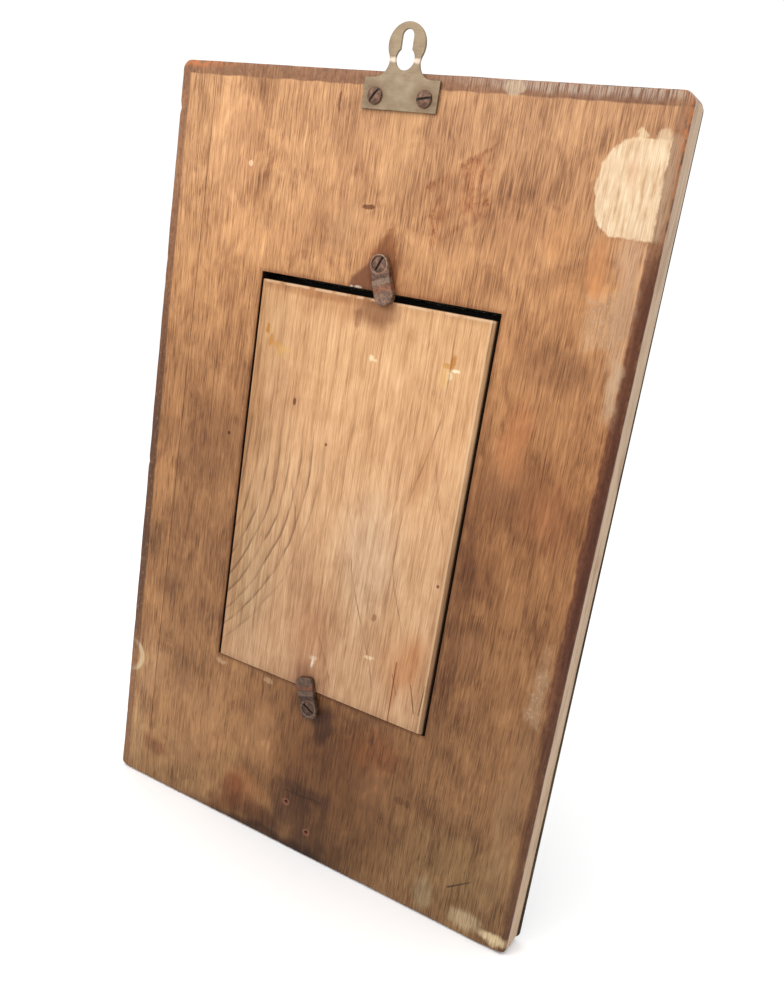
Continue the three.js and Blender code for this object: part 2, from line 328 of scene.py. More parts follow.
def outline(corners: Sequence[tuple[float, float, float]], sides: Sequence[int], arc: int) -> list[Vector]:
    """Draws a closed outline with round corners in X and Z, anticlockwise.

    Args:
        corners: (x, z, radius) of each corner.
        sides: how many steps to take along the side that follows each corner.
        arc: how many steps to take round each corner.

    Returns:
        Points of the outline at y = 0; outlines with equal counts match point for point.
    """
    points: list[Vector] = []
    turns = []
    for i, (x, z, radius) in enumerate(corners):
        at = Vector((x, z))
        before = (Vector(corners[i - 1][:2]) - at).normalized()
        after = (Vector(corners[(i + 1) % len(corners)][:2]) - at).normalized()
        half = before.angle(after) / 2
        centre = at + (before + after).normalized() * (radius / math.sin(half))
        start = at + before * (radius / math.tan(half)) - centre
        end = at + after * (radius / math.tan(half)) - centre
        sweep = start.angle(end)
        turn = []
        for k in range(arc + 1):
            a = sweep * k / arc
            turn.append(centre + Matrix.Rotation(a, 2) @ start)
        turns.append(turn)
    for i, turn in enumerate(turns):
        following = turns[(i + 1) % len(turns)][0]
        points.extend(turn)
        steps = sides[i]
        points.extend(turn[-1].lerp(following, k / steps) for k in range(1, steps))
    return [Vector((p.x, 0.0, p.y)) for p in points]


def inward(loop: Sequence[Vector]) -> list[Vector]:
    """The directions in the XZ plane that point into an anticlockwise loop, one for each point.

    Args:
        loop: the loop.

    Returns:
        The directions.
    """
    result = []
    for i, p in enumerate(loop):
        along = (loop[(i + 1) % len(loop)] - loop[i - 1]).normalized()
        result.append(Vector((-along.z, 0.0, along.x)))
    return result


def at_depth(loop: Iterable[Vector], y: float) -> list[Vector]:
    """Copies a loop to a depth in Y."""
    return [Vector((p.x, y, p.z)) for p in loop]


def flat_plate(
    name: str, rims: Sequence[Sequence[Vector]], low_y: float, high_y: float, edge: float
) -> bpy.types.Object:
    """Makes a flat plate with holes and softly rounded edges from outlines.

    Args:
        name: the object's name.
        rims: the outer outline and then the holes, as points in X and Z.
        low_y: the plate's lowest Y.
        high_y: its highest Y.
        edge: the radius of its edges.

    Returns:
        The plate as a closed mesh.
    """
    curve = bpy.data.curves.new(name, "CURVE")
    curve.dimensions = "2D"
    curve.fill_mode = "BOTH"
    curve.extrude = ((high_y - low_y) / 2 - edge) * MM
    curve.bevel_depth = edge * MM
    curve.bevel_resolution = 2
    curve.offset = -edge * MM
    for rim in rims:
        spline = curve.splines.new("POLY")
        spline.points.add(len(rim) - 1)
        for point, p in zip(spline.points, rim):
            point.co = (p.x * MM, p.z * MM, 0.0, 1.0)
        spline.use_cyclic_u = True
    drawn = put_in_scene(name + "_curve", curve)
    graph = bpy.context.evaluated_depsgraph_get()
    graph.update()
    mesh = bpy.data.meshes.new_from_object(drawn.evaluated_get(graph))
    bpy.data.objects.remove(drawn)
    upright = Matrix.Rotation(QUARTER, 4, "X")
    mesh.transform(Matrix.Translation((0, (low_y + high_y) / 2 * MM, 0)) @ upright)
    body = put_in_scene(name, mesh)
    tidy_mesh(mesh)
    soften(mesh, 34)
    weigh_normals(body)
    return body


def groove(start: Sequence[float], end: Sequence[float], face_y: float, width: float, depth: float) -> Shape:
    """A V-shaped cutter for a crack or seam in a face that looks towards -Y.

    Args:
        start: (x, z) of one end.
        end: (x, z) of the other.
        face_y: the face's Y.
        width: the groove's width at the face.
        depth: its depth.

    Returns:
        The cutter, tapered to a point at both ends.
    """
    a, b = Vector((start[0], 0, start[1])), Vector((end[0], 0, end[1]))
    along = (b - a).normalized()
    across = Vector((-along.z, 0, along.x))
    above = 0.4
    loops = []
    for share, size in ((0.0, 0.15), (0.2, 0.8), (0.5, 1.0), (0.8, 0.75), (1.0, 0.15)):
        mid = a.lerp(b, share)
        spread = across * (width / 2 * size * (depth + above) / depth)
        top = Vector((0, face_y - above, 0))
        deep = Vector((0, face_y + depth * size, 0))
        loops.append([mid + top + spread, mid + top - spread, mid + deep])
    return loft(loops)


def ripple(p: Vector, size: float) -> float:
    """Smooth fixed noise from -1 to 1 at a point, for features of a size in millimetres."""
    return noise.noise(p / size)


# Materials


def seen(red: int, green: int, blue: int, light: float = 1.3) -> Colour:
    """The base colour that shows as an 8-bit display colour.

    Args:
        red: red, 0 to 255.
        green: green, 0 to 255.
        blue: blue, 0 to 255.
        light: how strongly the surface is lit.

    Returns:
        The linear base colour.
    """
    def linear(level: int) -> float:
        """A display level as a linear one."""
        share = level / 255
        return share / 12.92 if share <= 0.04045 else ((share + 0.055) / 1.055) ** 2.4

    return linear(red) / light, linear(green) / light, linear(blue) / light


class Wire:
    """A socket in a node tree that can be used in Python sums."""

    def __init__(self, nodes: "Nodes", socket: bpy.types.NodeSocket) -> None:
        """Wraps a socket of a tree."""
        self.nodes = nodes
        self.socket = socket

    def _sum(self, operation: str, first: Any, second: Any) -> "Wire":
        """Adds a Math node and returns its result."""
        return self.nodes.wire("ShaderNodeMath", {"operation": operation}, {0: first, 1: second})

    def __add__(self, other: Any) -> "Wire":
        """Sum of the two."""
        return self._sum("ADD", self, other)

    def __radd__(self, other: Any) -> "Wire":
        """Sum of the two, with this one second."""
        return self._sum("ADD", other, self)

    def __sub__(self, other: Any) -> "Wire":
        """This less the other."""
        return self._sum("SUBTRACT", self, other)

    def __rsub__(self, other: Any) -> "Wire":
        """The other less this."""
        return self._sum("SUBTRACT", other, self)

    def __mul__(self, other: Any) -> "Wire":
        """Product of the two."""
        return self._sum("MULTIPLY", self, other)

    def __rmul__(self, other: Any) -> "Wire":
        """Product of the two, with this one second."""
        return self._sum("MULTIPLY", other, self)

    def __truediv__(self, other: Any) -> "Wire":
        """This divided by the other."""
        return self._sum("DIVIDE", self, other)

    def __mod__(self, other: Any) -> "Wire":
        """What is left when the other is taken away as often as it goes."""
        return self._sum("FLOORED_MODULO", self, other)

    def below(self, other: Any) -> "Wire":
        """1 where this is less than the other, else 0."""
        return self._sum("LESS_THAN", self, other)

    def least(self, other: Any) -> "Wire":
        """The smaller of the two."""
        return self._sum("MINIMUM", self, other)

    def most(self, other: Any) -> "Wire":
        """The larger of the two."""
        return self._sum("MAXIMUM", self, other)

    def size(self) -> "Wire":
        """Its distance from zero."""
        return self._sum("ABSOLUTE", self, 0.0)

    def rise(self, low: float, high: float) -> "Wire":
        """0 below low and 1 above high, with a smooth rise between; low may be the larger."""
        values = {"Value": self, "From Min": low, "From Max": high}
        return self.nodes.wire("ShaderNodeMapRange", {"interpolation_type": "SMOOTHSTEP"}, values, "Result")


class Nodes:
    """Adds nodes to a tree."""

    def __init__(self, tree: bpy.types.NodeTree) -> None:
        """Keeps the tree."""
        self.tree = tree

    def node(
        self, kind: str, settings: dict[str, Any] | None = None, values: dict[Any, Any] | None = None
    ) -> bpy.types.Node:
        """Adds a node.

        Args:
            kind: the node's type.
            settings: its own settings, such as an operation, or "stops" for a ramp.
            values: the values or wires of its sockets, by name or number.

        Returns:
            The node.
        """
        made = self.tree.nodes.new(kind)
        for key, value in (settings or {}).items():
            if key == "stops":
                self._set_stops(made.color_ramp, value)
            else:
                setattr(made, key, value)
        for key, value in (values or {}).items():
            if isinstance(value, Wire):
                self.tree.links.new(value.socket, made.inputs[key])
            else:
                made.inputs[key].default_value = value
        return made

    def wire(
        self,
        kind: str,
        settings: dict[str, Any] | None = None,
        values: dict[Any, Any] | None = None,
        output: int | str = 0,
    ) -> Wire:
        """Adds a node and wraps one of its outputs."""
        return Wire(self, self.node(kind, settings, values).outputs[output])

    def _set_stops(self, ramp: bpy.types.ColorRamp, stops: Stops) -> None:
        """Gives a colour ramp its stops.

        Args:
            ramp: the ramp.
            stops: the place and colour of each stop.
        """
        while len(ramp.elements) > 1:
            ramp.elements.remove(ramp.elements[-1])
        for i, (place, colour) in enumerate(stops):
            element = ramp.elements[0] if i == 0 else ramp.elements.new(place)
            element.position = place
            element.color = (*colour, 1.0)


class Recipe(Nodes):
    """Builds one procedural material."""

    def __init__(self, name: str) -> None:
        """Starts a material with a Principled shader and nothing else.

        Args:
            name: the material's name.
        """
        self.material = bpy.data.materials.new(name)
        self.material.use_nodes = True
        super().__init__(self.material.node_tree)
        self.tree.nodes.clear()
        self.shader = self.node("ShaderNodeBsdfPrincipled")
        self.node("ShaderNodeOutputMaterial", {}, {"Surface": Wire(self, self.shader.outputs[0])})

    def place(self, centre: Vector = Vector((0, 0, 0))) -> Wire:
        """Object coordinates in millimetres from a centre.

        Args:
            centre: the centre, in millimetres.

        Returns:
            The place.
        """
        source = self.wire("ShaderNodeTexCoord", output="Object")
        values = {"Vector": source, "Location": -centre, "Scale": (1 / MM,) * 3}
        return self.wire("ShaderNodeMapping", {"vector_type": "POINT"}, values)

    def parts(self, at: Wire) -> tuple[Wire, Wire, Wire]:
        """Splits a vector into its three numbers."""
        made = self.node("ShaderNodeSeparateXYZ", {}, {0: at})
        return Wire(self, made.outputs[0]), Wire(self, made.outputs[1]), Wire(self, made.outputs[2])

    def vector(self, operation: str, *values: Any) -> Wire:
        """A Vector Math node's result, for wires and fixed vectors."""
        name = "Value" if operation in ("LENGTH", "DISTANCE", "DOT_PRODUCT") else "Vector"
        return self.wire("ShaderNodeVectorMath", {"operation": operation}, dict(enumerate(values)), name)

    def grain(
        self, at: Wire, size: Sequence[float], detail: float = 2.0, rough: float = 0.55, bend: float = 0.0
    ) -> Wire:
        """Noise from 0 to 1.

        Args:
            at: where, in millimetres.
            size: the size of a feature along each axis.
            detail: how many finer layers it has.
            rough: how strong those are.
            bend: how far it is distorted.

        Returns:
            The noise.
        """
        scaled = self.vector("MULTIPLY", at, tuple(1 / s for s in size))
        values = {"Vector": scaled, "Scale": 1.0, "Detail": detail, "Roughness": rough, "Distortion": bend}
        return self.wire("ShaderNodeTexNoise", {}, values, "Fac")

    def wander(self, at: Wire, amount: float, size: float) -> Wire:
        """Places pushed about by noise, so that a plain round mark gets a natural edge.

        Args:
            at: the places.
            amount: how far they are pushed, in millimetres.
            size: the size of the noise.

        Returns:
            The new places.
        """
        values = {"Vector": self.vector("MULTIPLY", at, (1 / size,) * 3), "Scale": 1.0, "Detail": 3.0}
        made = self.wire("ShaderNodeTexNoise", {}, values, "Color")
        centred = self.vector("SUBTRACT", made, (0.5, 0.5, 0.5))
        return self.vector("MULTIPLY_ADD", centred, (2 * amount,) * 3, at)

    def ramp(self, level: Wire, stops: Stops) -> Wire:
        """A colour picked from a ramp."""
        return self.wire("ShaderNodeValToRGB", {"stops": stops}, {0: level})

    def mix(self, below: Any, above: Any, share: Any, blend: str = "MIX") -> Wire:
        """Lays one colour over another.

        Args:
            below: the colour underneath, a wire or three numbers.
            above: the colour on top.
            share: how much of it shows, 0 to 1.
            blend: the kind of mix.

        Returns:
            The mixed colour.
        """
        values = {0: share, 6: self._colour(below), 7: self._colour(above)}
        settings = {"data_type": "RGBA", "blend_type": blend, "clamp_factor": True}
        return self.wire("ShaderNodeMix", settings, values, 2)

    def _colour(self, value: Any) -> Any:
        """Three numbers as a socket's four."""
        return value if isinstance(value, Wire) else (*value, 1.0)

    def spot(self, at: Wire, middle: tuple[float, float], size: tuple[float, float], blur: float) -> Wire:
        """A round or oval mask in X and Z.

        Args:
            at: where, in millimetres.
            middle: (x, z) of its middle.
            size: its half width and half height.
            blur: the share of its radius over which it fades, on each side of its edge.

        Returns:
            1 inside and 0 outside.
        """
        scale = (1 / size[0], 0.0, 1 / size[1])
        offset = (-middle[0] / size[0], 0.0, -middle[1] / size[1])
        away = self.vector("LENGTH", self.vector("MULTIPLY_ADD", at, scale, offset))
        return away.rise(1 + blur, 1 - blur)

    def panel(self, at: Wire, corners: Corners, blur: float) -> Wire:
        """A mask with straight sides in X and Z.

        Args:
            at: where, in millimetres.
            corners: (x, z) of the corners of a convex outline, clockwise.
            blur: how far it fades on each side of its edge.

        Returns:
            1 inside and 0 outside.
        """
        inside: Wire | None = None
        for i, (x, z) in enumerate(corners):
            nx, nz = corners[(i + 1) % len(corners)]
            along = Vector((nx - x, nz - z)).normalized()
            normal = Vector((along.y, -along.x))
            distance = self.vector("DOT_PRODUCT", at, (normal.x, 0.0, normal.y))
            reach = distance - (normal.x * x + normal.y * z)
            inside = reach if inside is None else inside.least(reach)
        return inside.rise(-blur, blur)

    def bump(self, height: Wire, distance: float, strength: float) -> Wire:
        """A normal from a height.

        Args:
            height: the height, 0 to 1.
            distance: what 1 stands for, in millimetres.
            strength: how much of it shows.

        Returns:
            The normal.
        """
        values = {"Height": height, "Distance": distance * MM, "Strength": strength}
        return self.wire("ShaderNodeBump", {}, values)

    def finish(self, **values: Any) -> bpy.types.Material:
        """Sets the shader's sockets, with _ for a space in their names.

        Args:
            values: wires or fixed values by socket name.

        Returns:
            The finished material.
        """
        for key, value in values.items():
            socket = self.shader.inputs[key.replace("_", " ")]
            if isinstance(value, Wire):
                self.tree.links.new(value.socket, socket)
            else:
                socket.default_value = value
        return self.material


class Edge(Enum):
    """How the edge of a mark runs."""

    CLEAN = "clean"
    RAGGED = "ragged"
    CLOUDY = "cloudy"


class Lay(Enum):
    """How a mark sits on the colour below it."""

    COVER = "MIX"
    TINT = "MULTIPLY"


@dataclass(frozen=True)
class Mark:
    """One oval stain, worn place, dab, patch of painted shade or painted highlight on a face, in millimetres
    from the face's centre.
    """

    across: float
    up: float
    half_width: float
    half_height: float
    colour: Colour
    strength: float
    blur: float
    edge: Edge = Edge.CLOUDY
    lay: Lay = Lay.TINT


def glow(
    x: float, z: float, wide: float, high: float, tone: Tone, strength: float, blur: float = 0.7
) -> Mark:
    """A cloudy mark that covers the wood with a display colour."""
    return Mark(x, z, wide, high, seen(*tone), strength, blur, Edge.CLOUDY, Lay.COVER)


def dab(x: float, z: float, wide: float, high: float, tone: Tone, strength: float, blur: float) -> Mark:
    """A ragged mark that covers the wood with a display colour."""
    return Mark(x, z, wide, high, seen(*tone), strength, blur, Edge.RAGGED, Lay.COVER)


# Finishes


@dataclass(frozen=True)
class Face:
    """Where the board's back face lies, in millimetres, for finishes that are placed on it."""

    middle: Vector
    half_width: float
    half_height: float
    opening_half_width: float
    opening_half_height: float
    opening_rise: float


@dataclass(frozen=True)
class WoodGrain:
    """Sizes of the grain of one kind of wood, in millimetres, and how strongly each shows."""

    fibre: tuple[float, float, float] = (0.42, 0.42, 10.0)
    streak: tuple[float, float, float] = (1.1, 1.1, 34.0)
    mottle: tuple[float, float, float] = (15.0, 15.0, 23.0)
    flame: tuple[float, float, float] = (2.8, 2.8, 24.0)
    fibre_strength: float = 1.2
    streak_strength: float = 0.8
    mottle_strength: float = 0.72


@dataclass
class Canvas:
    """A wooden face while it is painted: its places, its grain and its colour so far."""

    name: str
    face: Face
    kind: WoodGrain
    ragged: tuple[float, float]
    cloudy: tuple[float, float]

    def __post_init__(self) -> None:
        """Makes the places and the grain."""
        recipe = self.recipe = Recipe(self.name)
        self.at = recipe.place(self.face.middle)
        self.grounds = {
            Edge.CLEAN: self.at,
            Edge.RAGGED: recipe.wander(self.at, *self.ragged),
            Edge.CLOUDY: recipe.wander(self.at, *self.cloudy),
        }
        self.x, self.depth, self.z = recipe.parts(self.at)
        self.fibre = self.noise(self.kind.fibre, 2.0, 0.6)
        self.streak = self.noise(self.kind.streak, 3.0, 0.6)
        self.mottle = self.noise(self.kind.mottle, 4.0, 0.6, 0.9)
        self.flame = self.noise(self.kind.flame, 2.0, 0.5, 0.4)
        self.level = (self.fibre - 0.5) * self.kind.fibre_strength
        self.level += (self.streak - 0.5) * self.kind.streak_strength
        self.level += (self.mottle - 0.5) * self.kind.mottle_strength
        self.up = (self.z + self.face.half_height) / (2 * self.face.half_height)
        self.colour: Any = None

    def noise(
        self, size: Sequence[float], detail: float = 2.0, rough: float = 0.55, bend: float = 0.0
    ) -> Wire:
        """Noise over the face, as Recipe.grain makes it."""
        return self.recipe.grain(self.at, size, detail, rough, bend)

    def panel(self, corners: Corners, blur: float, edge: Edge = Edge.RAGGED) -> Wire:
        """A mask with straight sides and one kind of edge."""
        return self.recipe.panel(self.grounds[edge], corners, blur)

    def spot(
        self, middle: tuple[float, float], size: tuple[float, float], blur: float, edge: Edge = Edge.CLEAN
    ) -> Wire:
        """An oval mask with one kind of edge."""
        return self.recipe.spot(self.grounds[edge], middle, size, blur)

    def lay(self, tone: Any, share: Any, how: Lay = Lay.COVER) -> None:
        """Covers or tints the colour so far with a tone, where share is 1."""
        self.colour = self.recipe.mix(self.colour, tone, share, how.value)

    def tint(self, tone: Any, share: Any) -> None:
        """Multiplies the colour so far by a tone, where share is 1."""
        self.lay(tone, share, Lay.TINT)

    def paint(self, marks: Iterable[Mark], worn: Any = 1.0) -> None:
        """Lays marks over the colour so far.

        Args:
            marks: the marks in order.
            worn: noise from 0 to 1 that thins covering marks.
        """
        for mark in marks:
            middle, size = (mark.across, mark.up), (mark.half_width, mark.half_height)
            share = self.spot(middle, size, mark.blur, mark.edge) * mark.strength
            self.lay(mark.colour, share * worn if mark.lay is Lay.COVER else share, mark.lay)


@dataclass(frozen=True)
class BoardWood:
    """Old veneered board: mottled, darker towards the foot, with a brushed dark border."""

    face: Face
    grain: WoodGrain = WoodGrain()
    base: Stops = (
        (0.0, seen(108, 68, 44)),
        (0.28, seen(166, 117, 79)),
        (0.5, seen(204, 152, 107)),
        (0.70, seen(224, 170, 120)),
        (1.0, seen(248, 196, 146)),
    )
    left_fade: Stops = (
        (0.0, (0.44, 0.44, 0.40)),
        (0.12, (0.63, 0.61, 0.54)),
        (0.3, (0.48, 0.43, 0.37)),
        (0.5, (0.51, 0.45, 0.39)),
        (0.6, (0.58, 0.51, 0.44)),
        (0.74, (0.84, 0.78, 0.70)),
        (0.86, (0.98, 0.96, 0.93)),
        (1.0, (0.98, 0.98, 0.97)),
    )
    right_fade: Stops = (
        (0.0, (0.42, 0.42, 0.38)),
        (0.2, (0.41, 0.37, 0.32)),
        (0.42, (0.47, 0.40, 0.33)),
        (0.6, (0.58, 0.48, 0.39)),
        (0.74, (0.80, 0.72, 0.64)),
        (1.0, (0.86, 0.85, 0.88)),
    )
    clouds: tuple[Mark, ...] = (
        Mark(96, 85, 17, 9, (0.55, 0.50, 0.50), 0.75, 0.6),
        Mark(92, 24, 26, 15, (0.62, 0.56, 0.56), 0.8, 0.6),
        Mark(76, -13, 11, 14, (0.66, 0.58, 0.56), 0.7, 0.6),
        Mark(-81, 15, 17, 19, (0.76, 0.72, 0.72), 0.8, 0.7),
        Mark(-118, -52, 9, 12, (0.62, 0.62, 0.60), 0.7, 0.6),
        Mark(-88, -120, 14, 13, (0.74, 0.70, 0.70), 0.8, 0.7),
        Mark(8, -150, 46, 52, (0.56, 0.46, 0.38), 0.9, 0.8),
        Mark(38, -122, 14, 10, (1.10, 0.86, 0.72), 0.7, 0.7),
        Mark(94, -165, 30, 22, (0.86, 0.94, 0.92), 0.8, 0.7),
        Mark(-80, 160, 11, 26, (0.86, 0.80, 0.78), 0.6, 0.7),
        Mark(-34, 128, 19, 13, (0.84, 0.80, 0.80), 0.7, 0.7),
        Mark(-22, 152, 12, 16, (0.88, 0.84, 0.84), 0.7, 0.7),
        Mark(96, 118, 17, 12, (0.84, 0.80, 0.78), 0.6, 0.7),
        Mark(66, 143, 18, 11, (0.88, 0.82, 0.80), 0.6, 0.7),
        Mark(-117, 15, 10, 9, (0.72, 0.68, 0.68), 0.7, 0.6),
        Mark(-40, -122, 20, 8, (0.80, 0.74, 0.72), 0.6, 0.7),
        Mark(20, -150, 28, 42, (0.74, 0.70, 0.68), 0.8, 0.7),
        Mark(-42, -190, 17, 9, (0.70, 0.62, 0.56), 0.8, 0.6),
        Mark(69, -28, 5, 74, (0.66, 0.60, 0.58), 0.8, 0.6),
        Mark(90, 122, 13, 5, (0.76, 0.70, 0.66), 0.7, 0.6),
        Mark(-116, -150, 7, 44, (0.94, 1.02, 1.16), 0.8, 0.6),
        Mark(-125, -160, 3, 16, (0.72, 0.70, 0.68), 0.8, 0.6),
        Mark(80, 91, 9, 8, (0.80, 0.76, 0.74), 0.7, 0.7),
        Mark(60, 131, 9, 7, (0.82, 0.78, 0.76), 0.7, 0.7),
        Mark(-28, 174, 12, 9, (0.86, 0.84, 0.84), 0.7, 0.7),
        Mark(20, -191, 24, 6, (0.78, 0.74, 0.72), 0.8, 0.6),
    )
    glows: tuple[Mark, ...] = (
        glow(82, 51, 7, 17, (206, 130, 78), 0.75, 0.6),
        glow(104, 22, 12, 14, (196, 126, 80), 0.5),
        glow(-76, 116, 14, 11, (238, 178, 122), 0.6),
        glow(-92, 158, 12, 22, (232, 176, 126), 0.5),
        glow(2, 170, 9, 24, (234, 180, 126), 0.55),
        glow(-30, -138, 8, 16, (204, 152, 104), 0.6),
        glow(-76, -135, 15, 10, (178, 132, 92), 0.6),
        glow(-76, -160, 14, 12, (182, 134, 92), 0.5),
        glow(-36, -174, 11, 9, (176, 110, 66), 0.6, 0.6),
        glow(98, 112, 14, 12, (236, 172, 112), 0.45),
        glow(26, 118, 16, 8, (230, 174, 120), 0.4),
        glow(-108, -128, 6, 14, (184, 142, 104), 0.5),
        glow(102, 125, 5, 13, (212, 142, 86), 0.8, 0.5),
        glow(85, 138, 6, 10, (222, 158, 100), 0.6, 0.6),
        glow(80, 38, 9, 18, (206, 146, 98), 0.45),
        glow(114, -130, 6, 56, (158, 124, 90), 0.5, 0.6),
        glow(-20, 131, 9, 8, (232, 184, 134), 0.5),
        glow(60, 108, 9, 8, (226, 170, 116), 0.5),
        glow(40, -141, 9, 13, (176, 124, 82), 0.5),
        glow(-60, -150, 9, 9, (184, 134, 90), 0.5),
        glow(-80, -170, 10, 8, (176, 130, 90), 0.5),
        glow(81, -51, 9, 9, (190, 136, 92), 0.5),
    )
    stains: tuple[Mark, ...] = (
        Mark(7.5, -118, 7.5, 11, (0.34, 0.28, 0.28), 0.85, 0.3),
        Mark(-2, -111, 10, 7, (0.5, 0.42, 0.4), 0.7, 0.5),
        Mark(-43, -181, 8, 10, (0.62, 0.42, 0.34), 0.8, 0.4),
        Mark(-25, -187, 10, 8, (0.50, 0.38, 0.34), 0.8, 0.4),
        Mark(-55, -190, 9, 5, (0.66, 0.52, 0.46), 0.7, 0.5),
        Mark(-20, -197, 46, 4.5, (0.30, 0.24, 0.22), 0.9, 0.5),
        Mark(3, 116, 9, 9, (0.74, 0.60, 0.50), 0.8, 0.6, Edge.RAGGED),
        Mark(-9.5, 139.5, 3.0, 1.3, (0.30, 0.20, 0.15), 0.9, 0.3, Edge.RAGGED),
        Mark(-32, 183, 0.9, 4.5, (0.50, 0.40, 0.36), 0.8, 0.4, Edge.RAGGED),
        Mark(-74, 19.5, 0.9, 0.9, (0.20, 0.14, 0.12), 0.9, 0.3, Edge.CLEAN),
        Mark(57.3, -141, 2.6, 2.2, (0.62, 0.56, 0.54), 0.8, 0.4, Edge.CLEAN),
        Mark(62.2, -141, 2.0, 2.2, (0.62, 0.56, 0.54), 0.8, 0.4, Edge.CLEAN),
        Mark(-100, -175, 6, 5, (0.66, 0.50, 0.44), 0.7, 0.4, Edge.RAGGED),
        Mark(-108, -174, 4, 5, (0.70, 0.56, 0.50), 0.6, 0.5, Edge.RAGGED),
        Mark(20, 100, 26, 9, (0.86, 0.78, 0.74), 0.7, 0.7),
    )
    dabs: tuple[Mark, ...] = (
        dab(109.6, 179.5, 2.2, 2.6, (238, 208, 166), 0.95, 0.25),
        dab(118.4, 179.0, 3.0, 3.4, (226, 196, 158), 0.85, 0.3),
        dab(109, 166, 2.2, 6, (222, 176, 140), 0.6, 0.5),
        dab(115, 134, 5.5, 8, (206, 166, 134), 0.6, 0.5),
        dab(117, 112, 4.2, 16, (186, 152, 122), 0.5, 0.5),
        dab(119.5, 83, 2.6, 13, (196, 168, 138), 0.6, 0.5),
        dab(52.5, 193.6, 4.6, 3.4, (206, 180, 150), 0.85, 0.2),
        Mark(-78.7, 152.2, 1.4, 1.4, seen(244, 208, 166), 0.95, 0.25, Edge.CLEAN, Lay.COVER),
        dab(79, -185, 5, 8.5, (166, 146, 112), 0.55, 0.5),
        dab(103, -188, 8, 5.0, (204, 180, 142), 0.7, 0.5),
        dab(119, -190.5, 7, 3.2, (236, 210, 166), 0.9, 0.4),
        Mark(-9, 103.6, 2.0, 0.7, seen(236, 222, 202), 0.9, 0.3, Edge.CLEAN, Lay.COVER),
        Mark(-12.6, 103.5, 0.9, 0.6, seen(236, 222, 202), 0.8, 0.3, Edge.CLEAN, Lay.COVER),
        dab(-62, -106, 3.5, 1.2, (214, 176, 138), 0.5, 0.4),
        dab(-30, -106, 3, 1.4, (214, 176, 138), 0.5, 0.4),
    )
    empty_holes: Corners = ((-8.5, -170.7), (6.7, -183.0))
    bared: Corners = (
        (94.6, 158), (95.6, 168), (100.2, 175.5), (106, 178.5),
        (121.3, 178.5), (122, 140.6), (104, 140.6), (97.6, 146),
    )
    fresh: Stops = ((0.38, seen(196, 158, 122)), (0.50, seen(230, 196, 156)), (0.66, seen(246, 222, 186)))
    scuffs: tuple[tuple[Corners, float], ...] = (
        (((101, 116), (113, 118), (114.5, 98), (103, 94)), 0.62),
        (((112, 126), (121, 128), (121, 90), (114, 88)), 0.42),
        (((116, 92), (121.5, 92), (122.5, 66), (117, 68)), 0.5),
        (((113.5, -50), (119, -48), (118.5, -76), (111.5, -73)), 0.6),
        (((114, -36), (119, -34), (119, -52), (114, -52)), 0.3),
    )
    side: Stops = (
        (0.25, seen(150, 116, 84)),
        (0.45, seen(196, 164, 130)),
        (0.62, seen(212, 182, 148)),
        (0.8, seen(172, 138, 104)),
    )

    def make(self) -> bpy.types.Material:
        """Builds the material.

        Returns:
            The material.
        """
        wood = Canvas("board_wood_worn", self.face, self.grain, (2.4, 5.0), (9.0, 26.0))
        fibre, mottle = wood.fibre, wood.mottle
        licks = wood.flame.rise(0.50, 0.68) * mottle.rise(0.44, 0.60)
        level = wood.level + (wood.noise((30.0, 30.0, 34.0)) - 0.5) * 0.45 + licks * 0.18 + 0.46
        wood.colour = wood.recipe.ramp(level, self.base)
        left, right = (wood.recipe.ramp(wood.up, stops) for stops in (self.left_fade, self.right_fade))
        wood.tint(wood.recipe.mix(left, right, wood.x.rise(-70, 70)), 1.0)
        wood.paint(self.clouds)
        wood.paint(self.glows, licks * 0.5 + 0.45)
        self._strip(wood)
        wood.paint(self.stains)
        self._stamp(wood)
        self._fitting(wood)
        self._rust(wood)
        border = self._border(wood)
        broken = (fibre.rise(0.34, 0.60) * 0.5 + 0.5) * (wood.streak.rise(0.36, 0.56) * 0.25 + 0.75)
        self._patches(wood, broken)
        wood.paint(self.dabs, broken)
        self._edges(wood)
        return wood.recipe.finish(
            Base_Color=wood.colour,
            Roughness=0.52 + (mottle - 0.5) * 0.35 + (fibre - 0.5) * 0.2 - border * 0.10,
            Specular_IOR_Level=0.18,
            Normal=wood.recipe.bump(fibre * 0.5 + wood.streak * 0.6 + mottle * 0.4, 0.32, 0.55),
        )

    def _strip(self, wood: Canvas) -> None:
        """Lightens the narrow strip left of the veneer's seam and darkens the seam itself.

        Args:
            wood: the face being painted.
        """
        seam = wood.x - (wood.z * 0.0068 - 106.3)
        strip = seam.rise(0.2, -0.2)
        wood.tint((1.16, 1.16, 1.14), strip * wood.z.rise(60, -20))
        wood.tint((0.94, 0.94, 0.94), strip * wood.z.rise(50, 110))
        wood.tint((0.42, 0.36, 0.34), seam.size().rise(0.55, 0.1) * 0.6)

    def _stamp(self, wood: Canvas) -> None:
        """Adds the blank, blotched stain of a tilted stamp.

        Args:
            wood: the face being painted.
        """
        stamp = wood.panel(((18.5, 152), (49, 171), (50, 142), (26, 127)), 1.3)
        inner = wood.panel(((20, 150.5), (47, 166.5), (48, 143.5), (27.5, 130)), 1.8)
        speckle = wood.noise((1.5, 1.5, 3.2), 3.0, 0.65).rise(0.42, 0.62)
        hold = wood.noise((9.0, 9.0, 12.0)).rise(0.40, 0.62)
        wood.tint((0.80, 0.62, 0.52), stamp * (hold * 0.45 + 0.10))
        rim = (stamp - inner).most(0.0) * (speckle * 0.7 + 0.15) * (hold * 0.6 + 0.4)
        wood.tint((0.56, 0.38, 0.30), rim)
        wood.tint((0.62, 0.44, 0.36), stamp * speckle * hold * 0.6)

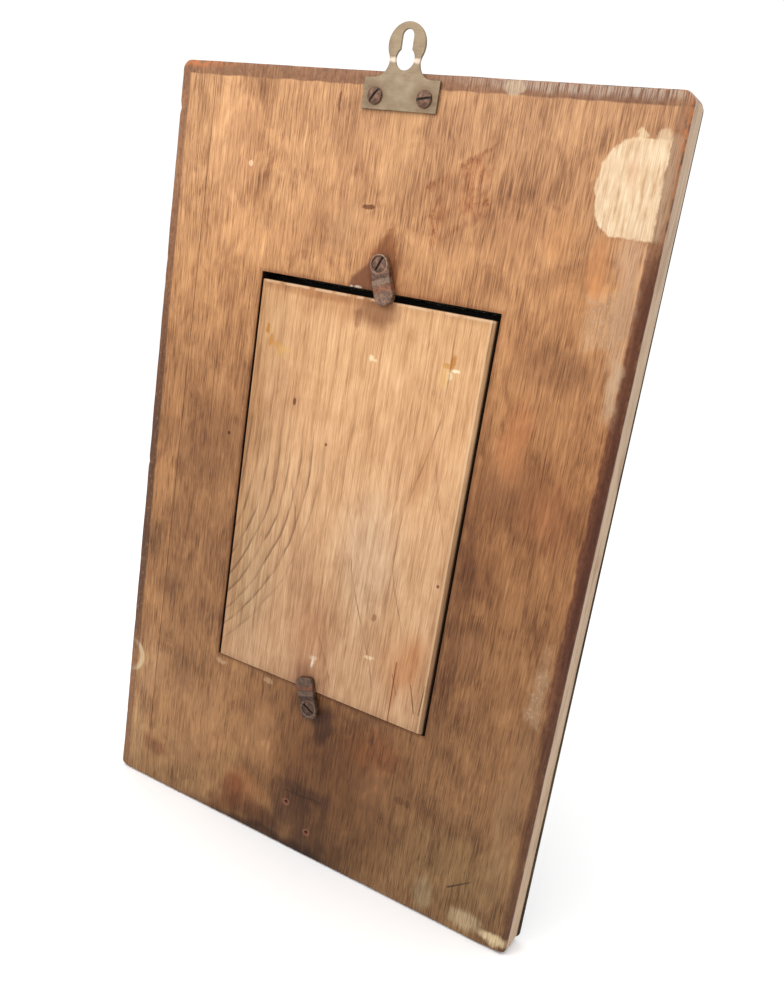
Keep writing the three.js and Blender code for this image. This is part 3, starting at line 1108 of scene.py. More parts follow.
    def _fitting(self, wood: Canvas) -> None:
        """Adds the dark ghost of a lost fitting below the opening.

        Args:
            wood: the face being painted.
        """
        ghost = wood.panel(((-15.5, -159), (17.5, -157), (19, -199), (-16, -199)), 3.0)
        bare = wood.panel(((6.5, -165), (13, -165), (13, -190), (6.5, -190)), 2.6)
        low = wood.panel(((-12, -184), (-3, -184), (-3, -195), (-12, -195)), 2.4)
        wood.tint((0.48, 0.44, 0.50), (ghost - bare * 0.7 - low * 0.6).most(0.0) * 0.85)
        line = wood.panel(((-10, -163.2), (12, -161.4), (12, -162.6), (-10, -164.4)), 0.8)
        wood.tint((0.50, 0.42, 0.42), line * 0.8)

    def _rust(self, wood: Canvas) -> None:
        """Adds the rust round the top button, a half moon at the left, a scratch and rust round the holes.

        Args:
            wood: the face being painted.
        """
        fibrous = wood.fibre * 0.4 + 0.6
        shade = wood.panel(((-5, 119), (5.2, 134), (9, 119), (12.5, 105), (-4, 105)), 1.2)
        wood.tint((0.56, 0.42, 0.34), shade * fibrous)
        corners = ((-13.8, 102.0), (-13.2, 107.5), (-4.5, 116.5), (4, 113), (3, 102.0))
        wood.lay(seen(106, 58, 36), wood.panel(corners, 1.2) * fibrous)
        moon = wood.spot((-127, -124), (10.2, 10.2), 0.05) - wood.spot((-127, -124), (7.0, 8.0), 0.12)
        wood.lay(seen(212, 188, 150), moon.most(0.0) * (wood.fibre * 0.5 + 0.45))
        corners = ((91, -174.5), (102.8, -166.2), (102.2, -167.2), (91.5, -175.3))
        wood.lay(seen(48, 36, 28), wood.panel(corners, 0.35, Edge.CLEAN) * 0.85)
        for hole in self.empty_holes:
            wood.lay(seen(150, 96, 78), wood.spot(hole, (2.3, 2.0), 0.3) * 0.55)

    def _patches(self, wood: Canvas, broken: Wire) -> None:
        """Bares the wood in a large patch at the upper right and scuffs smaller ones below it.

        Args:
            wood: the face being painted.
            broken: noise from 0 to 1 that breaks the patches up.
        """
        recipe = wood.recipe
        torn = recipe.wander(wood.at, 1.3, 3.0)
        over_band = recipe.panel(torn, ((119, 180), (125.8, 180), (125.8, 141), (119, 141)), 1.6)
        wood.lay(seen(186, 156, 126), over_band * broken * 0.62)
        streaks = wood.noise((1.6, 1.6, 14.0), 3.0, 0.6) * 0.8 + wood.noise((6.0, 6.0, 8.0)) * 0.3
        fresh = recipe.ramp(streaks, self.fresh)
        wood.lay(fresh, recipe.panel(torn, self.bared, 0.55) * (broken * 0.5 + 0.5))
        flecks = wood.noise((1.3, 1.3, 2.4), 3.0, 0.65).rise(0.50, 0.64)
        for corners, strength in self.scuffs:
            wood.lay(seen(196, 166, 134), wood.panel(corners, 2.2) * (flecks * 0.6 + 0.4) * strength)

    def _border(self, wood: Canvas) -> Wire:
        """Brushes the dark red-brown border along the top and both sides.

        Args:
            wood: the face being painted.

        Returns:
            The border's mask.
        """
        x, _, z = wood.recipe.parts(wood.recipe.wander(wood.at, 0.9, 9.0))
        top = z.rise(190.3, 191.1)
        left = x.rise(-121.0, -122.2) * (z.rise(-170, -60) * 0.35 + 0.65)
        wave = wood.noise((40.0, 40.0, 17.0)) * 5 - 2.5
        right = (x + wave * z.rise(140, 60) - z.rise(-50, -120) * 1.4).rise(120.6, 121.8)
        red = right * z.rise(146, 122) * (z.rise(-120, -10) * 0.8 + 0.2)
        share = top.most(left).most(right * (z.rise(-130, -20) * 0.35 + 0.45))
        patchy = wood.mottle.rise(0.35, 0.6) * 0.4 + 0.6
        wood.lay(seen(112, 72, 52), share * patchy * (0.62 + wood.fibre * 0.3))
        wood.tint((0.56, 0.56, 0.54), left * z.rise(130, 10) * z.rise(-130, -95) * 0.95)
        grit = wood.noise((1.5, 1.5, 3.0), 3.0, 0.65)
        wood.tint((0.58, 0.52, 0.52), share * grit.rise(0.50, 0.64) * 0.6)
        wood.lay(seen(172, 134, 110), share * grit.rise(0.44, 0.32) * 0.4)
        wood.tint((0.56, 0.42, 0.39), red * 0.9)
        wood.tint((0.52, 0.46, 0.46), right * x.rise(122.3, 124.6) * z.rise(150, 118) * 0.8)
        # Painted sheen along the top edge, with scuffs, broken up by the grain
        top_sheen_and_scuffs = wood.spot((84, 196), (54, 3.4), 0.5, Edge.RAGGED) * wood.fibre.rise(0.40, 0.60)
        wood.lay(seen(204, 184, 166), top_sheen_and_scuffs * 0.62)
        return share

    def _edges(self, wood: Canvas) -> None:
        """Colours the board's sides, paints shade on the walls of its opening, and adds the dirt and wear
        along its edges.

        Args:
            wood: the face being painted.
        """
        x, depth, z = wood.x, wood.depth, wood.z
        # Dirt round the opening
        out_x = x.size() - self.face.opening_half_width
        out_z = (z - self.face.opening_rise).size() - self.face.opening_half_height
        from_opening = out_x.most(out_z)
        wood.tint((0.62, 0.54, 0.50), from_opening.rise(2.4, 0.2) * 0.7)
        # Rubbed outer edge
        from_edge = (x.size() - self.face.half_width).most(z.size() - self.face.half_height)
        chafe = wood.noise((4.0, 4.0, 6.0), 3.0)
        rub = from_edge.rise(-1.4, -0.3) * chafe.rise(0.50, 0.64) * (z.rise(60, 170) * 0.7 + 0.3)
        wood.lay(seen(176, 116, 78), rub * 0.6)
        corner = wood.spot((-118, 197), (24, 3.2), 0.4).most(wood.spot((126.6, 184), (2.6, 15), 0.4))
        wood.lay(seen(196, 118, 70), corner * chafe.rise(0.42, 0.6) * 0.8)
        # Bare sides
        plank = wood.noise((9.0, 1.1, 60.0), 4.0, 0.65) + (wood.fibre - 0.5) * 0.35
        grubby = wood.noise((10.0, 6.0, 26.0), 3.0).rise(0.48, 0.7) * 0.8
        bare = wood.recipe.mix(wood.recipe.ramp(plank, self.side), (0.70, 0.60, 0.52), grubby, "MULTIPLY")
        bare = wood.recipe.mix(bare, (0.92, 0.90, 0.88), 1.0, "MULTIPLY")
        wood.lay(bare, from_edge.rise(-0.9, -0.3) * depth.rise(1.1, 2.0))
        arris = from_edge.rise(-0.8, -0.2) * depth.rise(2.4, 1.2) * chafe.rise(0.60, 0.42)
        wood.lay(seen(96, 52, 38), arris * 0.8)
        # Painted shade on the walls of the opening
        wood.lay(seen(40, 29, 22), from_opening.rise(0.3, 0.05) * depth.rise(0.3, 0.9))


@dataclass(frozen=True)
class Vein:
    """One dark line of the grain that runs down a face in gentle bends."""

    start: float
    top: float
    foot: float
    bends: tuple[tuple[float, float, float], ...]
    strength: float

    def line(self, x: Wire, z: Wire) -> Wire:
        """Masks the line.

        Args:
            x: millimetres across the face.
            z: millimetres up the face.

        Returns:
            1 on the line and 0 away from it.
        """
        middle: Any = self.start
        for start, end, shift in self.bends:
            middle = middle + z.rise(start, end) * shift
        reach = z.rise(self.foot, self.foot + 6) * z.rise(self.top, self.top - 6)
        return (x - middle).size().rise(0.62, 0.12) * reach


@dataclass(frozen=True)
class DoorWood:
    """Paler planed board with growth rings that sweep across its lower half."""

    face: Face
    grain: WoodGrain = WoodGrain(
        (0.45, 0.45, 11.0), (1.7, 1.7, 60.0), (13.0, 13.0, 26.0), (5.0, 5.0, 26.0), 0.95, 0.75, 0.65
    )
    base: Stops = (
        (0.0, seen(152, 106, 70)),
        (0.35, seen(198, 148, 100)),
        (0.55, seen(218, 168, 118)),
        (0.75, seen(232, 184, 132)),
        (1.0, seen(246, 202, 150)),
    )
    fade: Stops = (
        (0.2, (0.72, 0.75, 0.88)),
        (0.34, (0.78, 0.81, 0.92)),
        (0.5, (0.91, 0.93, 1.03)),
        (0.62, (0.98, 0.98, 1.05)),
        (0.74, (0.98, 0.98, 1.02)),
        (0.80, (0.88, 0.85, 0.84)),
    )
    ring_gap: float = 6.4
    veins: tuple[Vein, ...] = (
        Vein(45.2, 101, -60, ((60, -10, -12.4), (-20, -60, 11.2)), 0.55),
        Vein(8.5, -22, -92, ((-15, -100, 25.0),), 0.62),
        Vein(-5.0, -26, -98, ((-60, -98, 13.0),), 0.5),
        Vein(46.0, 36, -8, ((40, -20, 13.0),), 0.32),
        Vein(-31.0, 6, -24, ((10, -22, 6.0),), 0.6),
        Vein(33.6, 70, 26, ((70, 20, -1.5),), 0.25),
        Vein(-33.0, 92, 40, ((92, 40, 1.5),), 0.22),
    )
    marks: tuple[Mark, ...] = (
        Mark(18, -22, 15, 30, (0.96, 1.06, 1.22), 0.8, 0.6),
        Mark(-50, -50, 16, 40, (0.80, 0.84, 0.84), 0.7, 0.6),
        Mark(-56, 50, 16, 56, (0.76, 0.74, 0.72), 0.8, 0.7),
        Mark(-8, -76, 12, 24, (0.84, 0.72, 0.68), 0.8, 0.6),
        Mark(46, -70, 13, 18, (0.96, 0.84, 0.76), 0.8, 0.6),
        Mark(-18, -42, 10, 14, (0.84, 0.80, 0.80), 0.7, 0.6),
        # Painted shade along the lower half of the right edge
        Mark(61, -48, 4.5, 46, (0.78, 0.72, 0.68), 0.8, 0.6),
        Mark(-60, 0, 5, 92, (0.88, 0.83, 0.74), 0.8, 0.6),
        # Painted shade below and left of the top button
        Mark(-20, 92, 14, 6, (0.80, 0.72, 0.66), 0.8, 0.6),
        Mark(-30, 98, 34, 3.0, (0.70, 0.56, 0.46), 0.7, 0.5, Edge.RAGGED),
        Mark(-24, 42, 16, 5, (0.86, 0.82, 0.80), 0.7, 0.6, Edge.RAGGED),
        Mark(40, 25, 5, 17, (0.80, 0.70, 0.62), 0.7, 0.6),
        Mark(50, -68, 5, 14, (0.88, 0.70, 0.58), 0.7, 0.6),
        # Painted shadow of the top button, over a smudge
        Mark(4, 94.0, 10.5, 7.0, (0.42, 0.32, 0.28), 0.9, 0.5, Edge.RAGGED),
        Mark(-6, 90, 2.0, 4.5, (0.52, 0.40, 0.36), 0.7, 0.4, Edge.RAGGED),
        Mark(-35.5, 44, 0.9, 1.9, (0.28, 0.18, 0.14), 0.9, 0.3, Edge.CLEAN),
        Mark(-14, 27, 0.7, 0.8, (0.28, 0.18, 0.14), 0.9, 0.3, Edge.CLEAN),
        Mark(58, -25, 0.8, 0.9, (0.30, 0.20, 0.15), 0.9, 0.3, Edge.CLEAN),
        Mark(-8, -97, 12, 8, (0.62, 0.52, 0.50), 0.7, 0.6),
        Mark(27, -51, 1.4, 2.2, (0.52, 0.40, 0.34), 0.8, 0.4, Edge.RAGGED),
        dab(-56.4, 76.5, 1.2, 2.6, (176, 118, 48), 0.9, 0.3),
        dab(-54.0, 71.5, 1.1, 3.4, (184, 124, 50), 0.9, 0.3),
        dab(-50.6, 70.0, 2.6, 1.4, (198, 142, 68), 0.8, 0.3),
        dab(-48.0, 67.0, 1.6, 3.0, (208, 158, 88), 0.75, 0.4),
        dab(-44.0, 68.0, 3.4, 1.6, (214, 166, 100), 0.6, 0.5),
        dab(46.4, 78.6, 1.4, 3.0, (186, 122, 44), 0.9, 0.3),
        dab(44.0, 76.6, 2.4, 1.2, (196, 138, 62), 0.8, 0.3),
        dab(43.0, 71.0, 2.8, 4.6, (228, 184, 120), 0.55, 0.5),
        # Painted highlights in the orange mark on the right
        dab(48.4, 75.0, 1.6, 0.7, (252, 238, 196), 0.9, 0.4),
        dab(46.0, 72.6, 1.0, 1.6, (250, 232, 190), 0.7, 0.4),
        dab(4, 73, 0.9, 1.6, (246, 220, 180), 0.9, 0.4),
        dab(6, 72, 1.2, 0.6, (246, 220, 180), 0.7, 0.4),
        dab(-4, -86, 0.7, 3.0, (236, 214, 190), 0.8, 0.4),
        dab(-4, -83.5, 2.0, 1.4, (226, 204, 180), 0.6, 0.5),
        dab(28, -72, 2.6, 0.8, (236, 206, 170), 0.8, 0.4),
    )
    bend_start: float = 15.0
    bend_radius: float = 159.0
    spine: float = 25.0
    vee_gap: float = 17.0
    cracks: tuple[tuple[Corners, Tone, float], ...] = (
        (((43.0, -69), (43.9, -69), (44.1, -101.5), (43.3, -101.5)), (150, 82, 40), 0.85),
        (((42.0, -76), (42.5, -76), (46.2, -86), (45.6, -86)), (128, 70, 40), 0.7),
        (((52.6, -78), (53.2, -78), (57.4, -92), (56.8, -92)), (92, 60, 42), 0.7),
        (((60.2, -76), (60.9, -76), (60.0, -92), (59.4, -92)), (92, 60, 42), 0.7),
    )

    def make(self) -> bpy.types.Material:
        """Builds the material.

        Returns:
            The material.
        """
        wood = Canvas("backing_wood_planed", self.face, self.grain, (1.6, 3.5), (8.0, 24.0))
        wood.colour = wood.recipe.ramp(wood.level + (wood.flame - 0.5) * 0.35 + 0.52, self.base)
        wood.tint(wood.recipe.ramp(wood.up, self.fade), 1.0)
        rings = self._rings(wood)
        wood.lay(seen(112, 78, 54), rings)
        wood.lay(seen(140, 96, 64), wood.noise((0.8, 0.8, 42.0)).rise(0.60, 0.72) * 0.35)
        wood.paint(self.marks, (wood.fibre.rise(0.30, 0.62) * 0.45 + 0.55).least(1.0))
        self._cracks(wood)
        self._edges(wood)
        return wood.recipe.finish(
            Base_Color=wood.colour,
            Roughness=0.56 + (wood.mottle - 0.5) * 0.3,
            Specular_IOR_Level=0.18,
            Normal=wood.recipe.bump(wood.fibre * 0.6 + wood.streak * 0.6 - rings * 0.15, 0.22, 0.5),
        )

    def _rings(self, wood: Canvas) -> Wire:
        """Dark late-wood lines: arcs that turn out to the lower left, and a nest of V shapes on the right.

        Args:
            wood: the face being painted.

        Returns:
            Their mask.
        """
        recipe = wood.recipe
        x, _, z = recipe.parts(recipe.wander(wood.at, 2.2, 24.0))
        drop = (z - self.bend_start).least(0.0)
        bent = recipe.wire("ShaderNodeCombineXYZ", {}, {0: x + self.bend_radius, 1: 0.0, 2: drop})
        reach = recipe.vector("LENGTH", bent) - self.bend_radius
        turn = (reach + 200.0) % self.ring_gap / self.ring_gap
        line = turn.rise(0.70, 0.94) * turn.rise(1.0, 0.96) + turn.rise(0.1, 0.9) * turn.rise(1.0, 0.9) * 0.3
        arcs = line * reach.rise(-11, -19) * (z.rise(48, 2) * 0.85 + 0.15)
        lean = (self.spine - x).most(0.0) * 2.4 + (x - self.spine).most(0.0) * 6.0
        vee = (z - lean + 900.0) % self.vee_gap / self.vee_gap
        vees = vee.rise(0.72, 0.95) * vee.rise(1.0, 0.96) * wood.spot((26, -12), (34, 62), 0.45)
        broken = wood.noise((7.0, 7.0, 30.0)).rise(0.36, 0.56)
        return (arcs * 0.58 + vees * 0.12) * (broken * 0.65 + 0.35)

    def _cracks(self, wood: Canvas) -> None:
        """Colours the cracks near the lower right corner and the thin dark lines in the grain.

        Args:
            wood: the face being painted.
        """
        for corners, tone, strength in self.cracks:
            wood.lay(seen(*tone), wood.panel(corners, 0.3, Edge.CLEAN) * strength)
        x, _, z = wood.recipe.parts(wood.recipe.wander(wood.at, 0.9, 12.0))
        broken = wood.noise((5.0, 5.0, 16.0), 3.0).rise(0.34, 0.58) * 0.75 + 0.25
        for vein in self.veins:
            wood.lay(seen(116, 76, 52), vein.line(x, z) * broken * vein.strength)

    def _edges(self, wood: Canvas) -> None:
        """Adds dirt near the edges, a painted highlight along the top arris, painted shade on the bevel on
        the right with a pale line along its inner edge, and painted shade on the sides.

        Args:
            wood: the face being painted.
        """
        low, high = box_mm("backing_board")
        half, centre = (high - low) / 2, (high + low) / 2 - self.face.middle
        x, z = wood.x - centre.x, wood.z - centre.z
        from_edge = (x.size() - half.x).most(z.size() - half.z)
        chafe = wood.noise((5.0, 5.0, 8.0), 3.0)
        wood.tint((0.60, 0.52, 0.48), from_edge.rise(-5.0, -0.8) * (chafe * 0.7 + 0.2) * 0.5)
        # Painted highlight along the top arris, broken up by noise
        rub = (z - half.z).rise(-1.6, -0.8) * chafe.rise(0.36, 0.54) * wood.depth.rise(0.5, -0.2)
        wood.lay(seen(226, 192, 156), rub * 0.6)
        inwards = x - half.x
        # Painted shade on the bevel on the right, then a pale line along its inner edge
        wood.tint((0.60, 0.61, 0.62), inwards.rise(-1.9, -1.5) * 0.85)
        wood.lay(seen(238, 204, 160), inwards.rise(-3.0, -2.4) * inwards.rise(-1.7, -2.1) * 0.4)
        # Painted shade on the sides, which sit in the gap round the board
        wood.lay(seen(74, 54, 40), from_edge.rise(-0.7, -0.15) * wood.depth.rise(0.1, 1.2) * 0.9)


@dataclass(frozen=True)
class PlateMetal:
    """Dull brass-washed steel, rubbed and spotted."""

    middle: Vector
    base: Stops = (
        (0.2, seen(100, 82, 62, 1.3)),
        (0.45, seen(136, 117, 93, 1.3)),
        (0.6, seen(152, 133, 108, 1.3)),
        (0.85, seen(178, 158, 134, 1.3)),
    )

    def make(self) -> bpy.types.Material:
        """Builds the material.

        Returns:
            The material.
        """
        recipe = Recipe("hanger_plate_metal")
        at = recipe.place(self.middle)
        haze = recipe.grain(at, (7.0, 7.0, 5.0), detail=4.0)
        brushed = recipe.grain(at, (9.0, 1.0, 0.5), detail=2.0)
        spots = recipe.grain(at, (0.8, 0.8, 0.8), detail=2.0).rise(0.66, 0.76)
        level = haze * 0.85 + brushed * 0.14 + 0.01
        colour = recipe.ramp(level, self.base)
        for across in (-12.5, 12.5):
            ring = recipe.spot(recipe.wander(at, 0.8, 2.0), (across, -27.7), (6.0, 5.6), 0.4)
            colour = recipe.mix(colour, (0.62, 0.50, 0.44), ring * 0.55, "MULTIPLY")
        colour = recipe.mix(colour, seen(96, 66, 46), spots * 0.6)
        glint = recipe.spot(recipe.wander(at, 0.6, 1.8), (0, -12.6), (9.5, 1.1), 0.5)
        colour = recipe.mix(colour, seen(226, 206, 190, 1.0), glint * 0.55)
        height = brushed * 0.15 + haze * 0.8
        return recipe.finish(
            Base_Color=colour,
            Metallic=0.72 - spots * 0.5,
            Roughness=0.46 + (haze - 0.5) * 0.4 + spots * 0.2,
            Normal=recipe.bump(height, 0.12, 0.4),
        )


class IronShade(Enum):
    """How dark a piece of rusted iron is."""

    BROWN = 1.0
    DARK = 0.52


@dataclass(frozen=True)
class RustedIron:
    """Old brown iron with orange rust in its hollows; a button also gets painted highlights on its rim and
    joggle, painted shade in the groove between them and a rubbed tip, and a screw gets painted shade in its
    slot.
    """

    name: str
    shade: IronShade
    pivot: Vector
    slot_angle: float | None = None
    tip_angle: float | None = None

    def make(self) -> bpy.types.Material:
        """Builds the material.

        Returns:
            The material.
        """
        recipe = Recipe(self.name)
        at = recipe.place(self.pivot)
        coarse = recipe.grain(at, (1.9, 1.9, 1.9), detail=5.0, rough=0.65)
        fine = recipe.grain(at, (0.42, 0.42, 0.42), detail=3.0, rough=0.7)
        dim = self.shade.value
        tones = (seen(52, 34, 24, 1.1), seen(102, 72, 54, 1.1), seen(158, 127, 104, 1.1))
        dark, mid, light = (tuple(dim * c for c in tone) for tone in tones)
        colour = recipe.ramp(coarse * 0.8 + fine * 0.55 - 0.17, ((0.3, dark), (0.5, mid), (0.74, light)))
        rust = coarse.rise(0.50, 0.66) * fine.rise(0.40, 0.62)
        amount = rust * 0.55
        polish_and_highlight: Any = 0.0
        # A button gets painted highlights and painted shade that follow its shape, besides its wear and rust
        if self.tip_angle is not None:
            colour, amount, polish_and_highlight = self._wear_rust_and_painted_light(recipe, at, colour, amount, fine)
        orange = tuple((0.45 + 0.55 * dim) * c for c in seen(150, 78, 40, 1.1))
        colour = recipe.mix(colour, orange, amount.least(1.0))
        # Painted shade in a screw's slot
        if self.slot_angle is not None:
            colour = self._painted_slot_shade(recipe, at, colour)
        return recipe.finish(
            Base_Color=colour,
            Metallic=0.30 + polish_and_highlight * 0.4 - rust * 0.25,
            Roughness=0.46 + (fine - 0.5) * 0.4 + rust * 0.2 - polish_and_highlight * 0.16,
            Specular_IOR_Level=0.4,
            Normal=recipe.bump(coarse * 0.7 + fine * 0.6, 0.30, 0.9),
        )

    def _wear_rust_and_painted_light(
        self, recipe: Recipe, at: Wire, colour: Wire, amount: Wire, fine: Wire
    ) -> tuple[Wire, Wire, Wire]:
        """Paints highlights on a button's rim and joggle, rubs its tip bright, paints shade in its groove,
        and rusts its cup and the stretch beyond the joggle.

        Args:
            recipe: the material being made.
            at: millimetres from the screw.
            colour: the colour below.
            amount: how much orange rust there is.
            fine: the fine noise.

        Returns:
            The colour, the amount of rust, and the mask of the painted highlights on the rim and joggle and
            the rubbed tip.
        """
        angle = math.radians(self.tip_angle or 0.0)
        along = recipe.vector("DOT_PRODUCT", at, (math.sin(angle), 0.0, math.cos(angle)))
        away = recipe.vector("LENGTH", recipe.vector("MULTIPLY", at, (1.0, 0.0, 1.0)))
        rim = away.rise(3.5, 3.9) * away.rise(5.0, 4.4) * along.rise(4.6, 3.0)
        groove = along.rise(4.2, 5.2) * along.rise(7.2, 5.8)
        joggle = along.rise(6.6, 7.6) * along.rise(10.4, 8.6)
        tip = along.rise(11.5, 13.5) * fine.rise(0.46, 0.60)
        # Painted highlights on the cup's rim and the joggle, and wear on the tip
        polish_and_highlight = (rim * 0.75 + joggle * 0.5 + tip * 0.5).least(1.0) * fine.rise(0.34, 0.62)
        dim = self.shade.value
        # Painted shade in the groove before the joggle
        colour = recipe.mix(colour, (0.45, 0.38, 0.34), groove * 0.8, "MULTIPLY")
        colour = recipe.mix(colour, tuple(dim * c for c in seen(190, 170, 152, 1.1)), polish_and_highlight * 0.6)
        amount = amount * (1 - polish_and_highlight * 0.8) + away.rise(5.4, 3.0) * fine.rise(0.42, 0.60) * 0.45 * dim
        amount = amount + along.rise(9.4, 10.8) * along.rise(14.0, 11.4) * fine.rise(0.36, 0.58) * 0.42
        return colour, amount, polish_and_highlight

    def _painted_slot_shade(self, recipe: Recipe, at: Wire, colour: Wire) -> Wire:
        """Paints shade into a screw's slot.

        Args:
            recipe: the material being made.
            at: millimetres from the screw.
            colour: the colour below.

        Returns:
            The colour with painted shade in the slot.
        """
        angle = math.radians(self.slot_angle or 0.0)
        across = recipe.vector("DOT_PRODUCT", at, (-math.sin(angle), 0.0, math.cos(angle)))
        return recipe.mix(colour, (0.010, 0.007, 0.006), across.size().rise(0.62, 0.34) * 0.94)


@dataclass(frozen=True)
class DarkSheet:
    """Thin sheet metal with a dark patina that turns to a bronze tone in patches."""

    name: str
    bright: float = 1.0

    def make(self) -> bpy.types.Material:
        """Builds the material.

        Returns:
            The material.
        """
        recipe = Recipe(self.name)
        at = recipe.place()
        cloud = recipe.grain(at, (26.0, 26.0, 26.0), detail=5.0, rough=0.6, bend=0.6)
        fine = recipe.grain(at, (1.4, 1.4, 1.4), detail=4.0, rough=0.65)
        dent = recipe.grain(at, (6.0, 6.0, 6.0), detail=1.0)
        level = cloud * 0.8 + fine * 0.3 - 0.05
        tones = tuple(
            (place, tuple(self.bright * c for c in tone))
            for place, tone in (
                (0.3, (0.020, 0.016, 0.011)),
                (0.5, (0.050, 0.038, 0.024)),
                (0.66, (0.105, 0.074, 0.042)),
                (0.8, (0.18, 0.125, 0.07)),
            )
        )
        colour = recipe.ramp(level, tones)
        green = cloud.rise(0.34, 0.24) * 0.35
        colour = recipe.mix(colour, (0.050, 0.070, 0.050), green)
        return recipe.finish(
            Base_Color=colour,
            Metallic=0.62,
            Roughness=0.44 + (fine - 0.5) * 0.35 + (cloud - 0.5) * 0.2,
            Normal=recipe.bump(dent * 1.0 + fine * 0.12, 0.5, 0.6),
        )


@dataclass(frozen=True)
class ClearGlass:
    """Old sheet glass, a little green, with a film of dust."""

    def make(self) -> bpy.types.Material:
        """Builds the material.

        Returns:
            The material.
        """
        recipe = Recipe("glass_clear")
        at = recipe.place()
        dust = recipe.grain(at, (12.0, 12.0, 12.0), detail=5.0, rough=0.7)
        wave = recipe.grain(at, (60.0, 60.0, 24.0), detail=1.0)
        return recipe.finish(
            Base_Color=(0.90, 0.95, 0.93, 1.0),
            Transmission_Weight=1.0,
            IOR=1.46,
            Roughness=0.015 + dust.rise(0.55, 0.8) * 0.06,
            Normal=recipe.bump(wave, 0.12, 0.4),
        )


@dataclass(frozen=True)
class Card:
    """Paper or pulp card: fibres, clouding and foxing."""

    name: str
    pale: Colour
    deep: Colour
    fox: Colour

    def make(self) -> bpy.types.Material:
        """Builds the material.

        Returns:
            The material.
        """
        recipe = Recipe(self.name)
        at = recipe.place()
        fibre = recipe.grain(at, (0.35, 0.35, 0.9), detail=3.0, rough=0.7)
        cloud = recipe.grain(at, (38.0, 38.0, 46.0), detail=4.0, bend=0.5)
        colour = recipe.mix(self.pale, self.deep, cloud.rise(0.38, 0.66) * 0.7 + fibre * 0.25)
        foxing = recipe.grain(at, (3.2, 3.2, 3.2), detail=3.0).rise(0.66, 0.78)
        colour = recipe.mix(colour, self.fox, foxing * 0.5)
        return recipe.finish(
            Base_Color=colour,
            Roughness=0.80 + (fibre - 0.5) * 0.2,
            Specular_IOR_Level=0.2,
            Normal=recipe.bump(fibre, 0.05, 0.4),
        )


# Sub-assemblies


def box_mm(node: str) -> tuple[Vector, Vector]:
    """The lowest and highest corners of a CAD node, in millimetres."""
    low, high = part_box(node)
    return low / MM, high / MM


def fit(
    piece: bpy.types.Object, body: str, material: bpy.types.Material, nodes: Sequence[str]
) -> None:
    """Gives a finished piece its material and body, hides the CAD nodes it stands for and logs it.

    Args:
        piece: the finished object.
        body: the CAD body that carries it.
        material: its material.
        nodes: the CAD nodes that it stands for.
    """
    piece.data.materials.clear()
    piece.data.materials.append(material)
    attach(piece, body)
    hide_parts(*nodes)
    log.info("%s: %d faces, rides on %s", piece.name, len(piece.data.polygons), body)


def rounding(steps: int) -> list[tuple[float, float]]:
    """Shares of a radius, (in from the side, down from the face), from the side to the face."""
    angles = (QUARTER * k / steps for k in range(steps + 1))
    return [(1 - math.cos(a), 1 - math.sin(a)) for a in angles]


@dataclass
class WindowPlate:
    """A flat plate with a window in it, skinned as one closed ring."""

    outer: list[Vector]
    inner: list[Vector]
    low_y: float
    high_y: float
    rear_edge: list[float]
    front_edge: float
    window_edge: float
    rear_rings: int
    front_rings: int
    rear_relief: Relief
    front_relief: Relief

    def shape(self) -> Shape:
        """Builds the plate: rear face towards -Y, then sides, front face and the window's walls.

        Returns:
            The closed plate.
        """
        into = inward(self.outer)
        out_of_window = [-v for v in inward(self.inner)]
        edge = self.window_edge
        rear_rim = [p + n * r for p, n, r in zip(self.outer, into, self.rear_edge)]
        front_rim = [p + n * self.front_edge for p, n in zip(self.outer, into)]
        window_rim = [p + n * edge for p, n in zip(self.inner, out_of_window)]
        loops: list[list[Vector]] = []
        for inset, drop in reversed(rounding(4)):
            loop = []
            for p, n, r in zip(self.outer, into, self.rear_edge):
                loop.append(p + n * (r * inset) + Vector((0, self.low_y + r * drop, 0)))
            loops.append(loop)
        side_low, side_high = self.low_y + max(self.rear_edge), self.high_y - self.front_edge
        loops += [at_depth(self.outer, side_low + (side_high - side_low) * k / 3) for k in range(3)]
        for inset, drop in rounding(3):
            bent = (p + n * (self.front_edge * inset) for p, n in zip(self.outer, into))
            loops.append(at_depth(bent, self.high_y - self.front_edge * drop))
        loops += self._face(front_rim, window_rim, self.high_y, self.front_rings, self.front_relief)
        for inset, drop in reversed(rounding(2)):
            bent = (p + n * (edge * inset) for p, n in zip(self.inner, out_of_window))
            loops.append(at_depth(bent, self.high_y - edge * drop))
        loops.append(at_depth(self.inner, (self.low_y + self.high_y) / 2))
        for inset, drop in rounding(2):
            bent = (p + n * (edge * inset) for p, n in zip(self.inner, out_of_window))
            loops.append(at_depth(bent, self.low_y + edge * drop))
        loops += self._face(window_rim, rear_rim, self.low_y, self.rear_rings, self.rear_relief)
        return loft(loops, Ends.JOINED)

    def _face(
        self, start: list[Vector], end: list[Vector], y: float, rings: int, relief: Relief
    ) -> list[list[Vector]]:
        """The loops across one face, between its two rims, with a relief that dies out at both.

        Args:
            start: the rim to start from.
            end: the rim to end at.
            y: the face's Y.
            rings: how many steps to take.
            relief: how far a point is pushed along Y.

        Returns:
            The loops.
        """
        loops = []
        for k in range(1, rings):
            share = k / rings
            strength = min(1.0, 4 * math.sin(math.pi * share))
            loop = []
            for a, b in zip(start, end):
                p = a.lerp(b, share)
                p.y = y
                p.y += relief(p) * strength
                loop.append(p)
            loops.append(loop)
        return loops


